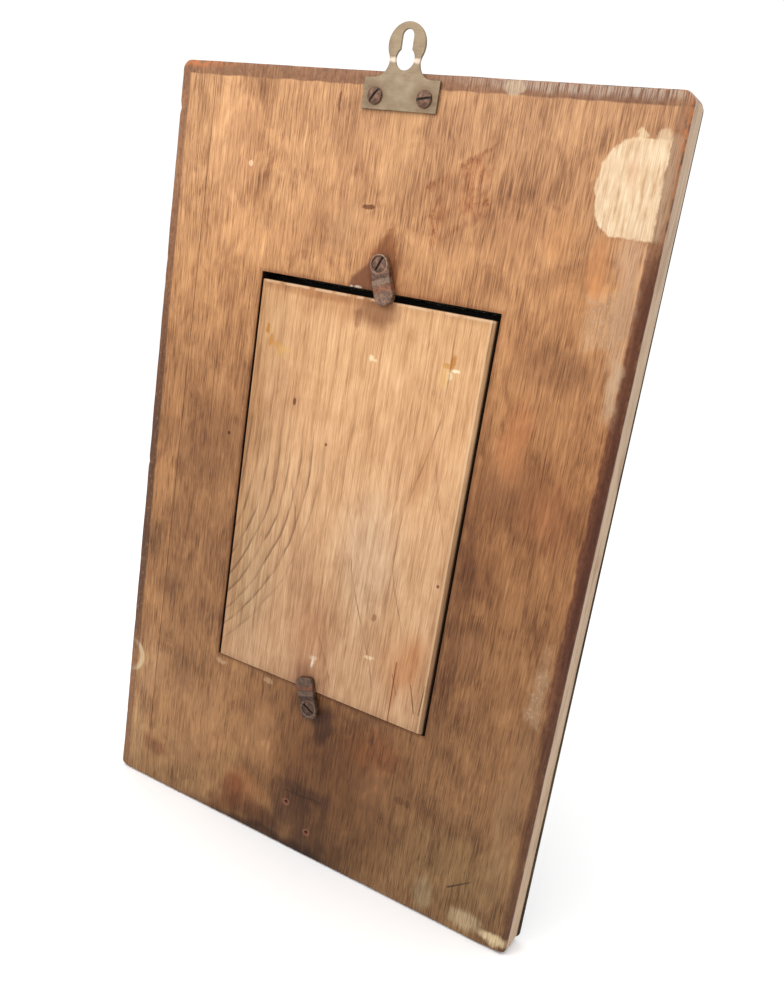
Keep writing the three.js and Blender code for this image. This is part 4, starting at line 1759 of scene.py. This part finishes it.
@dataclass
class Board:
    """The wide board: worn edges, a veneer seam and two empty screw holes."""

    upper_corner: float = 5.0
    lower_corner: float = 3.5
    opening: tuple[float, float] = (129.4, 205.0)
    opening_rise: float = 0.6
    opening_corner: float = 0.5
    step: float = 3.0
    arc: int = 8
    arris: float = 0.95
    hole_radius: float = 1.0
    hole_depth: float = 8.0
    holes: tuple[tuple[float, float], ...] = ((-8.5, 26.3), (6.7, 14.0))
    seam_top: float = -104.96
    seam_foot: float = -107.64
    seam_width: float = 0.35
    seam_depth: float = 0.28

    def __post_init__(self) -> None:
        """Reads the board's box."""
        self.low, self.high = box_mm("frame_board")
        self.centre_x = (self.low.x + self.high.x) / 2
        self.centre_z = (self.low.z + self.high.z) / 2

    def face(self) -> Face:
        """Where the back face lies.

        Returns:
            The face.
        """
        return Face(
            Vector((self.centre_x, self.low.y, self.centre_z)),
            (self.high.x - self.low.x) / 2,
            (self.high.z - self.low.z) / 2,
            self.opening[0] / 2,
            self.opening[1] / 2,
            self.opening_rise,
        )

    def counts(self) -> tuple[int, int, int, int]:
        """How many steps each side of the outline takes.

        Returns:
            The four counts.
        """
        across = round((self.high.x - self.low.x) / self.step)
        up = round((self.high.z - self.low.z) / self.step)
        return across, up, across, up

    def window(self, lip: float, corner: float) -> list[Vector]:
        """The opening's outline, made smaller by a lip.

        Args:
            lip: how far it is drawn in.
            corner: the radius of its corners.

        Returns:
            The outline.
        """
        half_x, half_z = self.opening[0] / 2 - lip, self.opening[1] / 2 - lip
        x, z = self.centre_x, self.centre_z + self.opening_rise
        turns = ((-1, -1), (1, -1), (1, 1), (-1, 1))
        return outline([(x + i * half_x, z + k * half_z, corner) for i, k in turns], self.counts(), self.arc)

    def wear(self, p: Vector) -> float:
        """How far the back edge is rounded off at a point of the outline.

        Args:
            p: the point.

        Returns:
            The radius.
        """
        radius = self.arris + 0.45 * ripple(p, 19.0) + 0.18 * ripple(p, 5.0)
        chip = ripple(p + Vector((31.0, 7.0, 0.0)), 4.2)
        radius += max(0.0, chip - 0.42) * 2.6
        foot = Vector((self.high.x, 0, self.low.z))
        radius += 1.3 * max(0.0, 1 - (p - foot).length / 16)
        return min(max(radius, 0.5), 2.8)

    def build(self) -> bpy.types.Object:
        """Makes the board with its groove and holes.

        Returns:
            The board.
        """
        corners = [
            (self.low.x, self.low.z, self.lower_corner),
            (self.high.x, self.low.z, self.lower_corner),
            (self.high.x, self.high.z, self.upper_corner),
            (self.low.x, self.high.z, self.upper_corner),
        ]
        outer = outline(corners, self.counts(), self.arc)
        nick = [0.10 * (1 + ripple(p, 23.0)) + 0.05 * (1 + ripple(p, 6.0)) for p in outer]
        outer = [p + n * d for p, n, d in zip(outer, inward(outer), nick)]
        plate = WindowPlate(
            outer=outer,
            inner=self.window(0.0, self.opening_corner),
            low_y=self.low.y,
            high_y=self.high.y,
            rear_edge=[self.wear(p) for p in outer],
            front_edge=0.5,
            window_edge=0.35,
            rear_rings=26,
            front_rings=8,
            rear_relief=lambda p: 0.07 * ripple(p, 15.0) + 0.04 * ripple(p, 4.5) + 0.03,
            front_relief=lambda p: 0.0,
        )
        body = plate.shape().piece("worn_frame_board")
        cutter = groove(
            (self.centre_x + self.seam_top, self.high.z + 1),
            (self.centre_x + self.seam_foot, self.low.z - 1),
            self.low.y,
            self.seam_width,
            self.seam_depth,
        )
        wide, snug, narrow = (self.hole_radius * share for share in (1.25, 0.95, 0.8))
        bottom = self.hole_depth
        profile = ((0.0, -1.0), (wide, -1.0), (wide, 0.0), (snug, 0.5), (narrow, bottom - 2), (0.0, bottom))
        for across, up in self.holes:
            place = Matrix.Translation((self.centre_x + across, self.low.y, self.low.z + up))
            cutter.add(turned(profile, 18).placed(place))
        carve(body, cutter)
        return body

    def dress(self, body: bpy.types.Object) -> None:
        """Gives the board its finish and place."""
        fit(body, "frame", BoardWood(self.face()).make(), ["frame_board"])


@dataclass
class Facing:
    """The thin metal sheet pinned over the picture side, and its ring of domed pins."""

    board: Board
    lip: float = 9.0
    upper_corner: float = 5.0
    lower_corner: float = 3.5
    right_inset: float = 0.25
    fold: float = 0.22
    pins_across: int = 4
    pins_up: int = 5
    head_height: float = 1.1
    shank_radius: float = 0.6

    def build_sheet(self) -> bpy.types.Object:
        """Makes the sheet, lightly planished.

        Returns:
            The sheet.
        """
        low, high = box_mm("front_facing")
        corners = [
            (low.x, low.z, self.lower_corner),
            (high.x, low.z, self.lower_corner),
            (self.board.high.x - self.right_inset, high.z, self.upper_corner),
            (low.x, high.z, self.upper_corner),
        ]
        outer = outline(corners, self.board.counts(), self.board.arc)
        plate = WindowPlate(
            outer=outer,
            inner=self.board.window(self.lip, 0.6),
            low_y=low.y,
            high_y=high.y,
            rear_edge=[self.fold] * len(outer),
            front_edge=self.fold,
            window_edge=self.fold,
            rear_rings=8,
            front_rings=24,
            rear_relief=lambda p: 0.0,
            front_relief=lambda p: -0.12 * abs(ripple(p, 5.5)) - 0.05,
        )
        return plate.shape().piece("patinated_facing")

    def build_pins(self, nodes: Sequence[str], material: bpy.types.Material) -> bpy.types.Object:
        """Sets every pin along the sheet's edges with Geometry Nodes.

        Args:
            nodes: the CAD pins.
            material: the pins' material.

        Returns:
            All pins as one plain mesh.
        """
        boxes = [box_mm(node) for node in nodes]
        middles = [(low + high) / 2 for low, high in boxes]
        xs, zs = [m.x for m in middles], [m.z for m in middles]
        low, high = boxes[0]
        middle = Vector(((max(xs) + min(xs)) / 2, high.y - self.head_height, (max(zs) + min(zs)) / 2))
        values = {
            "Width": (max(xs) - min(xs)) * MM,
            "Height": (max(zs) - min(zs)) * MM,
            "Across": self.pins_across,
            "Up": self.pins_up,
            "Head Radius": (high.x - low.x) / 2 * MM,
            "Head Height": self.head_height * MM,
            "Shank Radius": self.shank_radius * MM,
            "Shank Length": (high.y - low.y - self.head_height) * MM,
            "Middle": middle * MM,
            "Seed": 5,
            "Material": material,
        }
        return grow("facing_pins", pin_ring_tree(), values)

    def build(self) -> list[bpy.types.Object]:
        """Makes and dresses the sheet and its pins.

        Returns:
            The sheet and the pins.
        """
        sheet = self.build_sheet()
        fit(sheet, "frame", DarkSheet("facing_patina").make(), ["front_facing"])
        nodes = [f"facing_pin_{k:02d}" for k in range(1, 2 * self.pins_across + 2 * (self.pins_up - 2) + 1)]
        brass = DarkSheet("pin_patina", 1.9).make()
        pins = self.build_pins(nodes, brass)
        fit(pins, "frame", brass, nodes)
        return [sheet, pins]


def pin_ring_tree() -> bpy.types.NodeTree:
    """A Geometry Nodes tree that sets domed pins round a rectangle.

    Returns:
        The tree, with its sizes as named inputs.
    """
    nodes = Nodes(bpy.data.node_groups.new("pin_ring", "GeometryNodeTree"))
    sockets = {
        "NodeSocketGeometry": ("Geometry",),
        "NodeSocketFloat": ("Width", "Height", "Head Radius", "Head Height", "Shank Radius", "Shank Length"),
        "NodeSocketInt": ("Across", "Up", "Seed"),
        "NodeSocketVector": ("Middle",),
        "NodeSocketMaterial": ("Material",),
    }
    face = nodes.tree.interface
    face.new_socket("Geometry", in_out="OUTPUT", socket_type="NodeSocketGeometry")
    for kind, names in sockets.items():
        for name in names:
            face.new_socket(name, in_out="INPUT", socket_type=kind)

    def vector(x: Any, y: Any, z: Any) -> Wire:
        """A vector from three numbers."""
        return nodes.wire("ShaderNodeCombineXYZ", {}, {0: x, 1: y, 2: z})

    def here() -> list[Wire]:
        """The three numbers of a point's place."""
        parts = nodes.node("ShaderNodeSeparateXYZ", {}, {0: nodes.wire("GeometryNodeInputPosition")})
        return [Wire(nodes, output) for output in parts.outputs]

    def turned_by(geometry: Wire, **values: Any) -> Wire:
        """Geometry moved, turned or scaled."""
        return nodes.wire("GeometryNodeTransform", {}, {"Geometry": geometry, **values})

    def chance(low: float, high: float) -> Wire:
        """A random number for each pin.

        Args:
            low: its low end.
            high: its high end.

        Returns:
            The number.
        """
        values = {"Min": low, "Max": high, "Seed": given["Seed"]}
        made = nodes.node("FunctionNodeRandomValue", {"data_type": "FLOAT"}, values)
        return Wire(nodes, [output for output in made.outputs if output.enabled][0])

    given = {output.name: Wire(nodes, output) for output in nodes.node("NodeGroupInput").outputs}
    # Places: a grid without its inside
    counts = {"Size X": given["Width"], "Size Y": given["Height"],
              "Vertices X": given["Across"], "Vertices Y": given["Up"]}
    grid = nodes.wire("GeometryNodeMeshGrid", {}, counts, "Mesh")
    x, y, _ = here()
    inside = x.size().below(given["Width"] * 0.49) * y.size().below(given["Height"] * 0.49)
    hollow = {"Geometry": grid, "Selection": inside}
    ring = nodes.wire("GeometryNodeDeleteGeometry", {"domain": "POINT"}, hollow)
    upright = turned_by(ring, Translation=given["Middle"], Rotation=(QUARTER, 0.0, 0.0))
    # One pin, its head towards +Z before it is turned
    ball = nodes.wire("GeometryNodeMeshUVSphere", {}, {"Segments": 20, "Rings": 12, "Radius": 1.0}, "Mesh")
    x, y, z = here()
    flat_below = {"Geometry": ball, "Position": vector(x, y, z.most(0.0))}
    domed = nodes.wire("GeometryNodeSetPosition", {}, flat_below)
    head = turned_by(domed, Scale=vector(given["Head Radius"], given["Head Radius"], given["Head Height"]))
    sizes = {"Vertices": 10, "Radius": given["Shank Radius"], "Depth": given["Shank Length"]}
    shank = nodes.wire("GeometryNodeMeshCylinder", {}, sizes, "Mesh")
    sunk = turned_by(shank, Translation=vector(0.0, 0.0, given["Shank Length"] * -0.5))
    both = nodes.node("GeometryNodeJoinGeometry")
    for part in (head, sunk):
        nodes.tree.links.new(part.socket, both.inputs[0])
    pin = turned_by(Wire(nodes, both.outputs[0]), Rotation=(-QUARTER, 0.0, 0.0))
    # A hand-set look: each turned differently and driven a little differently
    turn, depth = chance(0.0, 2 * math.pi), chance(0.90, 1.0)
    spread = {"Points": upright, "Instance": pin,
              "Rotation": vector(0.0, turn, 0.0), "Scale": vector(1.0, depth, 1.0)}
    made = nodes.wire("GeometryNodeInstanceOnPoints", {}, spread)
    for kind in ("GeometryNodeRealizeInstances", "GeometryNodeSetShadeSmooth"):
        made = nodes.wire(kind, {}, {"Geometry": made})
    made = nodes.wire("GeometryNodeSetMaterial", {}, {"Geometry": made, "Material": given["Material"]})
    nodes.node("NodeGroupOutput", {}, {0: made})
    return nodes.tree


def grow(name: str, tree: bpy.types.NodeTree, values: dict[str, Any]) -> bpy.types.Object:
    """Runs a Geometry Nodes tree and keeps its result as plain mesh.

    Args:
        name: the new object's name.
        tree: the tree.
        values: its inputs, by their names in the tree.

    Returns:
        The new object.
    """
    body = put_in_scene(name, bpy.data.meshes.new(name))
    modifier = body.modifiers.new(name, "NODES")
    modifier.node_group = tree
    for item in tree.interface.items_tree:
        if item.in_out == "INPUT" and item.name in values:
            modifier[item.identifier] = values[item.name]
    settle(body)
    tidy_mesh(body.data)
    soften(body.data, 40)
    return body


@dataclass
class Pack:
    """What lies in the opening between the facing and the backing board."""

    glass_edge: float = 0.35
    picture_edge: float = 0.12
    card_edge: float = 0.4
    glass_step: float = 24.0
    card_step: float = 8.0

    def build(self) -> list[bpy.types.Object]:
        """Makes and dresses the glass, the picture and the card behind it.

        Returns:
            The three pieces.
        """
        tones = (seen(*tone, 1.0) for tone in ((232, 220, 192), (214, 196, 160), (150, 110, 66)))
        cream = Card("picture_cream", *tones)
        pulp = Card("card_black", (0.014, 0.012, 0.010), (0.006, 0.005, 0.005), (0.02, 0.016, 0.012))
        layers = (
            ("glass_pane", "sheet_glass", self.glass_edge, self.glass_step, "clear_glass", ClearGlass()),
            ("picture_sheet", "picture_card", self.picture_edge, self.card_step, "picture_paper", cream),
            ("backing_card", "black_pulp_card", self.card_edge, self.card_step, "backing_paper", pulp),
        )
        pieces = []
        for node, name, edge, step, slot, finish in layers:
            piece = block(*box_mm(node), edge, step).piece(name)
            fit(piece, "frame", finish.make(), [node])
            pieces.append(piece)
        return pieces


@dataclass
class Door:
    """The loose backing board: rounded arrises, a heavier bevel on its right edge, and cracks."""

    face: Face
    arris: float = 0.75
    step: float = 2.6
    bevel: float = 2.0
    bevel_drop: float = 0.55
    left_bevel: float = 1.2
    left_drop: float = 0.25
    crack_depth: float = 0.3
    cracks: tuple[tuple[tuple[float, float], tuple[float, float], float], ...] = (
        ((43.4, -70), (43.7, -101.8), 0.35),
        ((52.8, -78), (57.2, -92), 0.3),
        ((60.5, -77), (59.8, -92), 0.3),
    )

    def build(self) -> bpy.types.Object:
        """Makes the backing board.

        Returns:
            The backing board.
        """
        low, high = box_mm("backing_board")

        def plane(p: Vector) -> Vector:
            """Works the back face and its right edge.

            Args:
                p: the point.

            Returns:
                The moved point.
            """
            moved = p.copy()
            if p.y < low.y + self.arris:
                near = min(p.x - low.x, high.x - p.x, p.z - low.z, high.z - p.z)
                settled = min(1.0, max(0.0, near / 4))
                moved.y += settled * (0.08 * ripple(p, 22.0) + 0.03 * ripple(p, 5.0) + 0.06)
                right = max(0.0, self.bevel - (high.x - p.x)) / self.bevel
                moved.y += right * self.bevel_drop
                left = max(0.0, self.left_bevel - (p.x - low.x)) / self.left_bevel
                moved.y += left * self.left_drop
            return moved

        body = block(low, high, self.arris, self.step).shifted(plane).piece("planed_backing_board")
        x, z = self.face.middle.x, self.face.middle.z
        cracks = Shape()
        for (x0, z0), (x1, z1), width in self.cracks:
            cracks.add(groove((x + x0, z + z0), (x + x1, z + z1), low.y + 0.08, width, self.crack_depth))
        carve(body, cracks)
        return body

    def dress(self, body: bpy.types.Object) -> None:
        """Gives the board its finish and place."""
        fit(body, "backing", DoorWood(self.face).make(), ["backing_board"])


def arc(x: float, z: float, radius: float, start: float, end: float, steps: int) -> list[Vector]:
    """Points along an arc in X and Z, between two angles."""
    angles = (start + (end - start) * k / steps for k in range(steps + 1))
    return [Vector((x + radius * math.cos(a), 0, z + radius * math.sin(a))) for a in angles]


@dataclass
class HangerPlate:
    """The stamped keyhole plate."""

    base_height: float = 13.4
    neck_width: float = 15.2
    flare: float = 7.0
    loop_radius: float = 9.25
    loop_margin: float = 2.95
    slot_width: float = 5.7
    keyhole_radius: float = 4.65
    keyhole_drop: float = 12.0
    screw_hole: float = 1.8
    screw_rise: float = 5.6
    screw_spread: float = 12.5
    edge: float = 0.22

    def build(self) -> bpy.types.Object:
        """Makes the plate from its outline and holes.

        Returns:
            The plate.
        """
        low, high = box_mm("hanger_plate")
        half_neck = self.neck_width / 2
        shoulder = low.z + self.base_height
        loop_z = self.loop_margin - self.loop_radius
        meet = math.acos(half_neck / self.loop_radius)
        flare_x, flare_z = half_neck + self.flare, shoulder + self.flare
        corner = 0.5
        rim = arc(low.x + corner, low.z + corner, corner, math.pi, 1.5 * math.pi, 4)
        rim += arc(high.x - corner, low.z + corner, corner, -QUARTER, 0, 4)
        rim += arc(high.x - corner, shoulder - corner, corner, 0, QUARTER, 4)
        rim += arc(flare_x, flare_z, self.flare, -QUARTER, -math.pi, 14)
        rim += arc(0, loop_z, self.loop_radius, -meet, math.pi + meet, 56)[1:-1]
        rim += arc(-flare_x, flare_z, self.flare, 0, -QUARTER, 14)
        rim += arc(low.x + corner, shoulder - corner, corner, QUARTER, math.pi, 4)
        half_slot = self.slot_width / 2
        side = math.asin(half_slot / self.keyhole_radius)
        keyhole = arc(0, -half_slot, half_slot, 0, math.pi, 18)
        keyhole += arc(0, -self.keyhole_drop, self.keyhole_radius, QUARTER + side, 2.5 * math.pi - side, 44)
        holes = [
            arc(x, low.z + self.screw_rise, self.screw_hole, 0, 2 * math.pi * 15 / 16, 15)
            for x in (-self.screw_spread, self.screw_spread)
        ]
        return flat_plate("keyhole_hanger", [rim, keyhole, *holes], low.y, high.y, self.edge)

    def dress(self, body: bpy.types.Object) -> None:
        """Gives the plate its finish and place."""
        fit(body, "frame", PlateMetal(Vector((0, 0, 0))).make(), ["hanger_plate"])


class Head(Enum):
    """The shape of a screw's head."""

    ROUND = "round"
    SUNK = "sunk"


@dataclass
class Screw:
    """A slotted wood screw."""

    node: str
    name: str
    head: Head
    slot_angle: float
    shade: IronShade
    shank_radius: float = 1.5
    head_height: float = 1.4
    slot_width: float = 1.0
    slot_depth: float = 0.8
    tip: float = 2.0
    sides: int = 40

    def profile(self, radius: float, top: float, point: float) -> list[tuple[float, float]]:
        """The turned profile, from the crown of the head to the point.

        Args:
            radius: the head's radius.
            top: the Y of the crown.
            point: the Y of the point.

        Returns:
            (radius, y) pairs.
        """
        if self.head is Head.ROUND:
            seat = top + self.head_height
            crown = [(radius * math.sin(a), top + self.head_height * 0.82 * (1 - math.cos(a)))
                     for a in (QUARTER * k / 8 for k in range(9))]
            rim = [(radius, seat - 0.12), (radius * 0.96, seat)]
            body = crown + rim + [(self.shank_radius, seat)]
        else:
            dome = ((0.0, 0.0), (0.5, 0.04), (0.85, 0.12), (0.97, 0.22))
            crown = [(radius * share, top + drop) for share, drop in dome]
            body = crown + [(radius, top + 0.36), (radius * 0.98, top + 0.5), (self.shank_radius, top + 2.1)]
        shank = self.shank_radius
        return body + [(shank, point - self.tip), (shank * 0.6, point - self.tip / 2), (0.0, point)]

    def build(self) -> bpy.types.Object:
        """Makes the screw and cuts its slot.

        Returns:
            The screw.
        """
        low, high = box_mm(self.node)
        radius = (high.x - low.x) / 2
        place = Matrix.Translation(((low.x + high.x) / 2, 0, (low.z + high.z) / 2))

        def pitted(p: Vector) -> Vector:
            """Roughens the head a little without making it taller."""
            return p + Vector((0.05 * ripple(p, 0.9), 0, 0.05 * ripple(p + Vector((9, 9, 9)), 0.9)))

        profile = self.profile(radius * 0.985, low.y + 0.02, high.y)
        shape = turned(profile, self.sides).placed(place).shifted(pitted)
        body = shape.piece(self.name, 38)
        a = math.radians(self.slot_angle)
        along, across = Vector((math.cos(a), 0, math.sin(a))), Vector((-math.sin(a), 0, math.cos(a)))
        middle = place.translation
        loops = []
        reach = along * (radius * 1.3)
        for down, half in ((-1.0, 0.62), (0.15, 0.55), (0.6, 0.5), (self.slot_depth, 0.42)):
            spread = across * (self.slot_width * half)
            at = middle + Vector((0, low.y + down, 0))
            loops.append([at + reach + spread, at - reach + spread, at - reach - spread, at + reach - spread])
        carve(body, loft(loops), 38)
        return body

    def dress(self, body: bpy.types.Object) -> None:
        """Gives the screw its finish and place.

        Args:
            body: the object.
        """
        low, high = box_mm(self.node)
        finish = RustedIron(self.name + "_iron", self.shade, (low + high) / 2, slot_angle=self.slot_angle)
        fit(body, "frame", finish.make(), [self.node])


@dataclass
class TurnButton:
    """A cast turn button: cupped round its screw, with a joggle that lifts its tip."""

    body: str
    node: str
    screw_node: str
    name: str
    angle: float
    reach: float
    tail: float
    tip_round: float
    tail_round: float
    shade: IronShade
    root_width: float = 9.2
    tip_width: float = 10.0
    thickness: float = 3.2
    cup: float = 0.5
    joggle_start: float = 5.0
    joggle_length: float = 2.5
    top_edge: float = 0.75
    foot_edge: float = 0.25

    def __post_init__(self) -> None:
        """Finds the screw's centre and the button's own height."""
        low, high = box_mm(self.screw_node)
        self.pivot = Vector(((low.x + high.x) / 2, 0, (low.z + high.z) / 2))
        self.screw_top = low.y
        own_low, own_high = box_mm(self.node)
        self.under = own_high.y
        self.joggle = own_high.y - own_low.y - self.thickness

    def _smooth(self, value: float) -> float:
        """A smooth step from 0 to 1."""
        t = min(1.0, max(0.0, value))
        return t * t * (3 - 2 * t)

    def _spine(self, p: Vector) -> Vector:
        """The point of the button's middle line that an outline point shrinks to.

        Args:
            p: the point.

        Returns:
            The point that it shrinks to.
        """
        low = -self.tail + self.root_width * 0.47
        high = self.reach - self.tip_width * 0.47
        return Vector((0, 0, min(max(p.z, low), high)))

    def _raised(self, p: Vector, height: float, depth_in: float) -> Vector:
        """Lifts a plan point to its place on the button.

        Args:
            p: the point in plan, Z towards the tip.
            height: its height above the underside.
            depth_in: how far it lies in from the edge of the top.

        Returns:
            The point, with its height along -Y.
        """
        lift = self.joggle * self._smooth((p.z - self.joggle_start) / self.joggle_length)
        root = 1 - self._smooth((p.z - self.joggle_start + 1.6) / 1.8)
        hollow = self.cup * root * self._smooth((depth_in - 0.55) / 0.7)
        dip = 0.25 * math.exp(-(((p.z - self.joggle_start - 0.2) / 1.3) ** 2)) * self._smooth(depth_in / 1.5)
        rise = height + lift - hollow - (dip if height > self.thickness / 2 else 0.0)
        return Vector((p.x, -rise, p.z))

    def shape(self) -> Shape:
        """Skins the button in plan, then lifts it to its heights.

        Returns:
            The closed button.
        """
        half_root, half_tip = self.root_width / 2, self.tip_width / 2
        corners = [
            (-half_root, -self.tail, self.tail_round), (half_root, -self.tail, self.tail_round),
            (half_tip, self.reach, self.tip_round), (-half_tip, self.reach, self.tip_round),
        ]
        rim = outline(corners, (4, 34, 4, 34), 12)
        into = inward(rim)
        spine = [self._spine(p) for p in rim]
        loops: list[list[Vector]] = []

        def shrunk(share: float, inset: float) -> list[Vector]:
            """The outline drawn in by an inset and then by a share towards the spine."""
            return [(p + n * inset).lerp(s, share) for p, n, s in zip(rim, into, spine)]

        for share in (1.0, 0.5, 0.15):
            loops.append([self._raised(p, 0.0, 0.0) for p in shrunk(share, self.foot_edge)])
        for inset, drop in reversed(rounding(3)):
            foot = shrunk(0.0, self.foot_edge * inset)
            loops.append([self._raised(p, self.foot_edge * drop, 0.0) for p in foot])
        for share in (0.35, 0.7):
            height = self.foot_edge + (self.thickness - self.top_edge - self.foot_edge) * share
            loops.append([self._raised(p, height, 0.0) for p in rim])
        for inset, drop in rounding(5):
            height = self.thickness - self.top_edge * drop
            depth_in = self.top_edge * inset
            loops.append([self._raised(p, height, depth_in) for p in shrunk(0.0, depth_in)])
        for share in (0.08, 0.16, 0.25, 0.36, 0.5, 0.7, 1.0):
            depth_in = self.top_edge + share * half_root
            loops.append([self._raised(p, self.thickness, depth_in) for p in shrunk(share, self.top_edge)])
        return loft(loops, Ends.OPEN)

    def build(self) -> bpy.types.Object:
        """Makes the button, turned to where it is parked, with a hole for its screw.

        Returns:
            The button.
        """
        turn = Matrix.Rotation(math.radians(self.angle), 4, "Y")
        place = Matrix.Translation((self.pivot.x, self.under, self.pivot.z)) @ turn

        def pitted(p: Vector) -> Vector:
            """Roughens the casting without making it larger."""
            sideways = 0.10 * ripple(p, 2.2), 0.10 * ripple(p + Vector((7, 0, 3)), 2.2)
            return p + Vector((sideways[0], 0.05 + 0.07 * ripple(p, 1.3), sideways[1])) * 0.7

        body = self.shape().shifted(pitted).placed(place).piece(self.name, 44)
        low, high = box_mm(self.screw_node)
        head = (high.x - low.x) / 2 + 0.15
        shank = 1.9
        above, seat, neck = (self.screw_top + down for down in (-3, 0.45, 2.3))
        foot = self.under + 1
        profile = ((0.0, above), (head, above), (head, seat), (shank, neck), (shank, foot), (0.0, foot))
        carve(body, turned(profile, 40).placed(Matrix.Translation(self.pivot)), 44)
        return body

    def dress(self, body: bpy.types.Object) -> None:
        """Gives the button its finish and place."""
        finish = RustedIron(self.name + "_iron", self.shade, self.pivot, tip_angle=self.angle)
        fit(body, self.body, finish.make(), [self.node])


# Room


@dataclass
class Studio:
    """The floor, the light and the camera."""

    floor_z: float
    camera_at: Vector = Vector((0.22863, -0.3891, -0.09542))
    aim: Vector = Vector((0.0293, 0.0009, -0.2166))
    roll: float = 9.2
    lens: float = 34.15
    rise: float = 0.0245

    def build(self) -> None:
        """Makes the room."""
        self._floor()
        self._light("key", Vector((-0.24, -0.52, 0.26)), Vector((0, 0, -0.14)), 0.45, 2.4)
        self._light("overhead", Vector((0.3, -0.4, 1.6)), Vector((0, 0, -0.4)), 1.6, 9.0)
        self._surroundings(1.08)
        self._camera()

    def _floor(self) -> None:
        """A plain pale floor under the frame's bottom edge."""
        half = 4.0
        z = self.floor_z - 0.0004
        mesh = bpy.data.meshes.new("floor")
        corners = [(-half, -half, z), (half, -half, z), (half, half, z), (-half, half, z)]
        mesh.from_pydata(corners, [], [(0, 1, 2, 3)])
        pale = (0.93, 0.93, 0.93, 1.0)
        finish = Recipe("floor_pale").finish(Base_Color=pale, Roughness=0.8, Specular_IOR_Level=0.1)
        mesh.materials.append(finish)
        put_in_scene("floor", mesh)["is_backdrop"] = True

    def _light(self, name: str, at: Vector, towards: Vector, size: float, power: float) -> None:
        """A soft square light, hidden from the camera.

        Args:
            name: the light's name.
            at: where it stands, in metres.
            towards: what it shines on.
            size: its width.
            power: its power in watts.
        """
        data = bpy.data.lights.new(name, "AREA")
        data.shape = "SQUARE"
        data.size = size
        data.energy = power
        light = put_in_scene(name, data)
        light.location = at
        light.rotation_mode = "QUATERNION"
        light.rotation_quaternion = (towards - at).to_track_quat("-Z", "Y")
        light.visible_camera = False

    def _surroundings(self, strength: float) -> None:
        """White surroundings.

        Args:
            strength: how bright they are.
        """
        world = bpy.data.worlds.new("white_room")
        world.use_nodes = True
        background = world.node_tree.nodes["Background"]
        background.inputs["Color"].default_value = (1.0, 1.0, 1.0, 1.0)
        background.inputs["Strength"].default_value = strength
        bpy.context.scene.world = world
        bpy.context.scene.view_settings.view_transform = "Standard"

    def _camera(self) -> None:
        """The camera, close to the frame and tilted, as for a hand-held view from the lower right."""
        data = bpy.data.cameras.new("camera")
        data.lens = self.lens
        data.sensor_width = 36.0
        data.shift_y = self.rise
        data.clip_start = 0.01
        camera = put_in_scene("camera", data)
        camera.location = self.camera_at
        level = (self.aim - self.camera_at).to_track_quat("-Z", "Y")
        camera.rotation_mode = "QUATERNION"
        camera.rotation_quaternion = level @ Quaternion((0, 0, 1), math.radians(self.roll))
        bpy.context.scene.camera = camera


def main() -> None:
    """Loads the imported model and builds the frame's looks around it."""
    logging.basicConfig(level=logging.INFO, format="%(message)s")
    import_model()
    cad_box = [list(corner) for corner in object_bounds()]

    board = Board()
    board.dress(board.build())
    Facing(board).build()
    Pack().build()
    door = Door(board.face())
    door.dress(door.build())
    hanger = HangerPlate()
    hanger.dress(hanger.build())
    screws = (
        Screw("hanger_screw_left", "hanger_left_screw", Head.ROUND, 53.0, IronShade.BROWN),
        Screw("hanger_screw_right", "hanger_right_screw", Head.ROUND, 10.8, IronShade.BROWN),
        Screw("top_button_screw", "top_pivot_screw", Head.SUNK, 64.8, IronShade.BROWN),
        Screw("bottom_button_screw", "bottom_pivot_screw", Head.SUNK, -27.0, IronShade.DARK),
    )
    for screw in screws:
        screw.dress(screw.build())
    buttons = (
        TurnButton("top_button", "top_turn_button", "top_button_screw", "top_cupped_button",
                   158.8, 18.8, 4.6, 4.4, 4.5, IronShade.BROWN),
        TurnButton("bottom_button", "bottom_turn_button", "bottom_button_screw", "bottom_cupped_button",
                   -16.6, 17.0, 5.6, 2.6, 3.0, IronShade.DARK),
    )
    for button in buttons:
        button.dress(button.build())
    Studio(cad_box[0][2]).build()


if __name__ == "__main__":
    main()
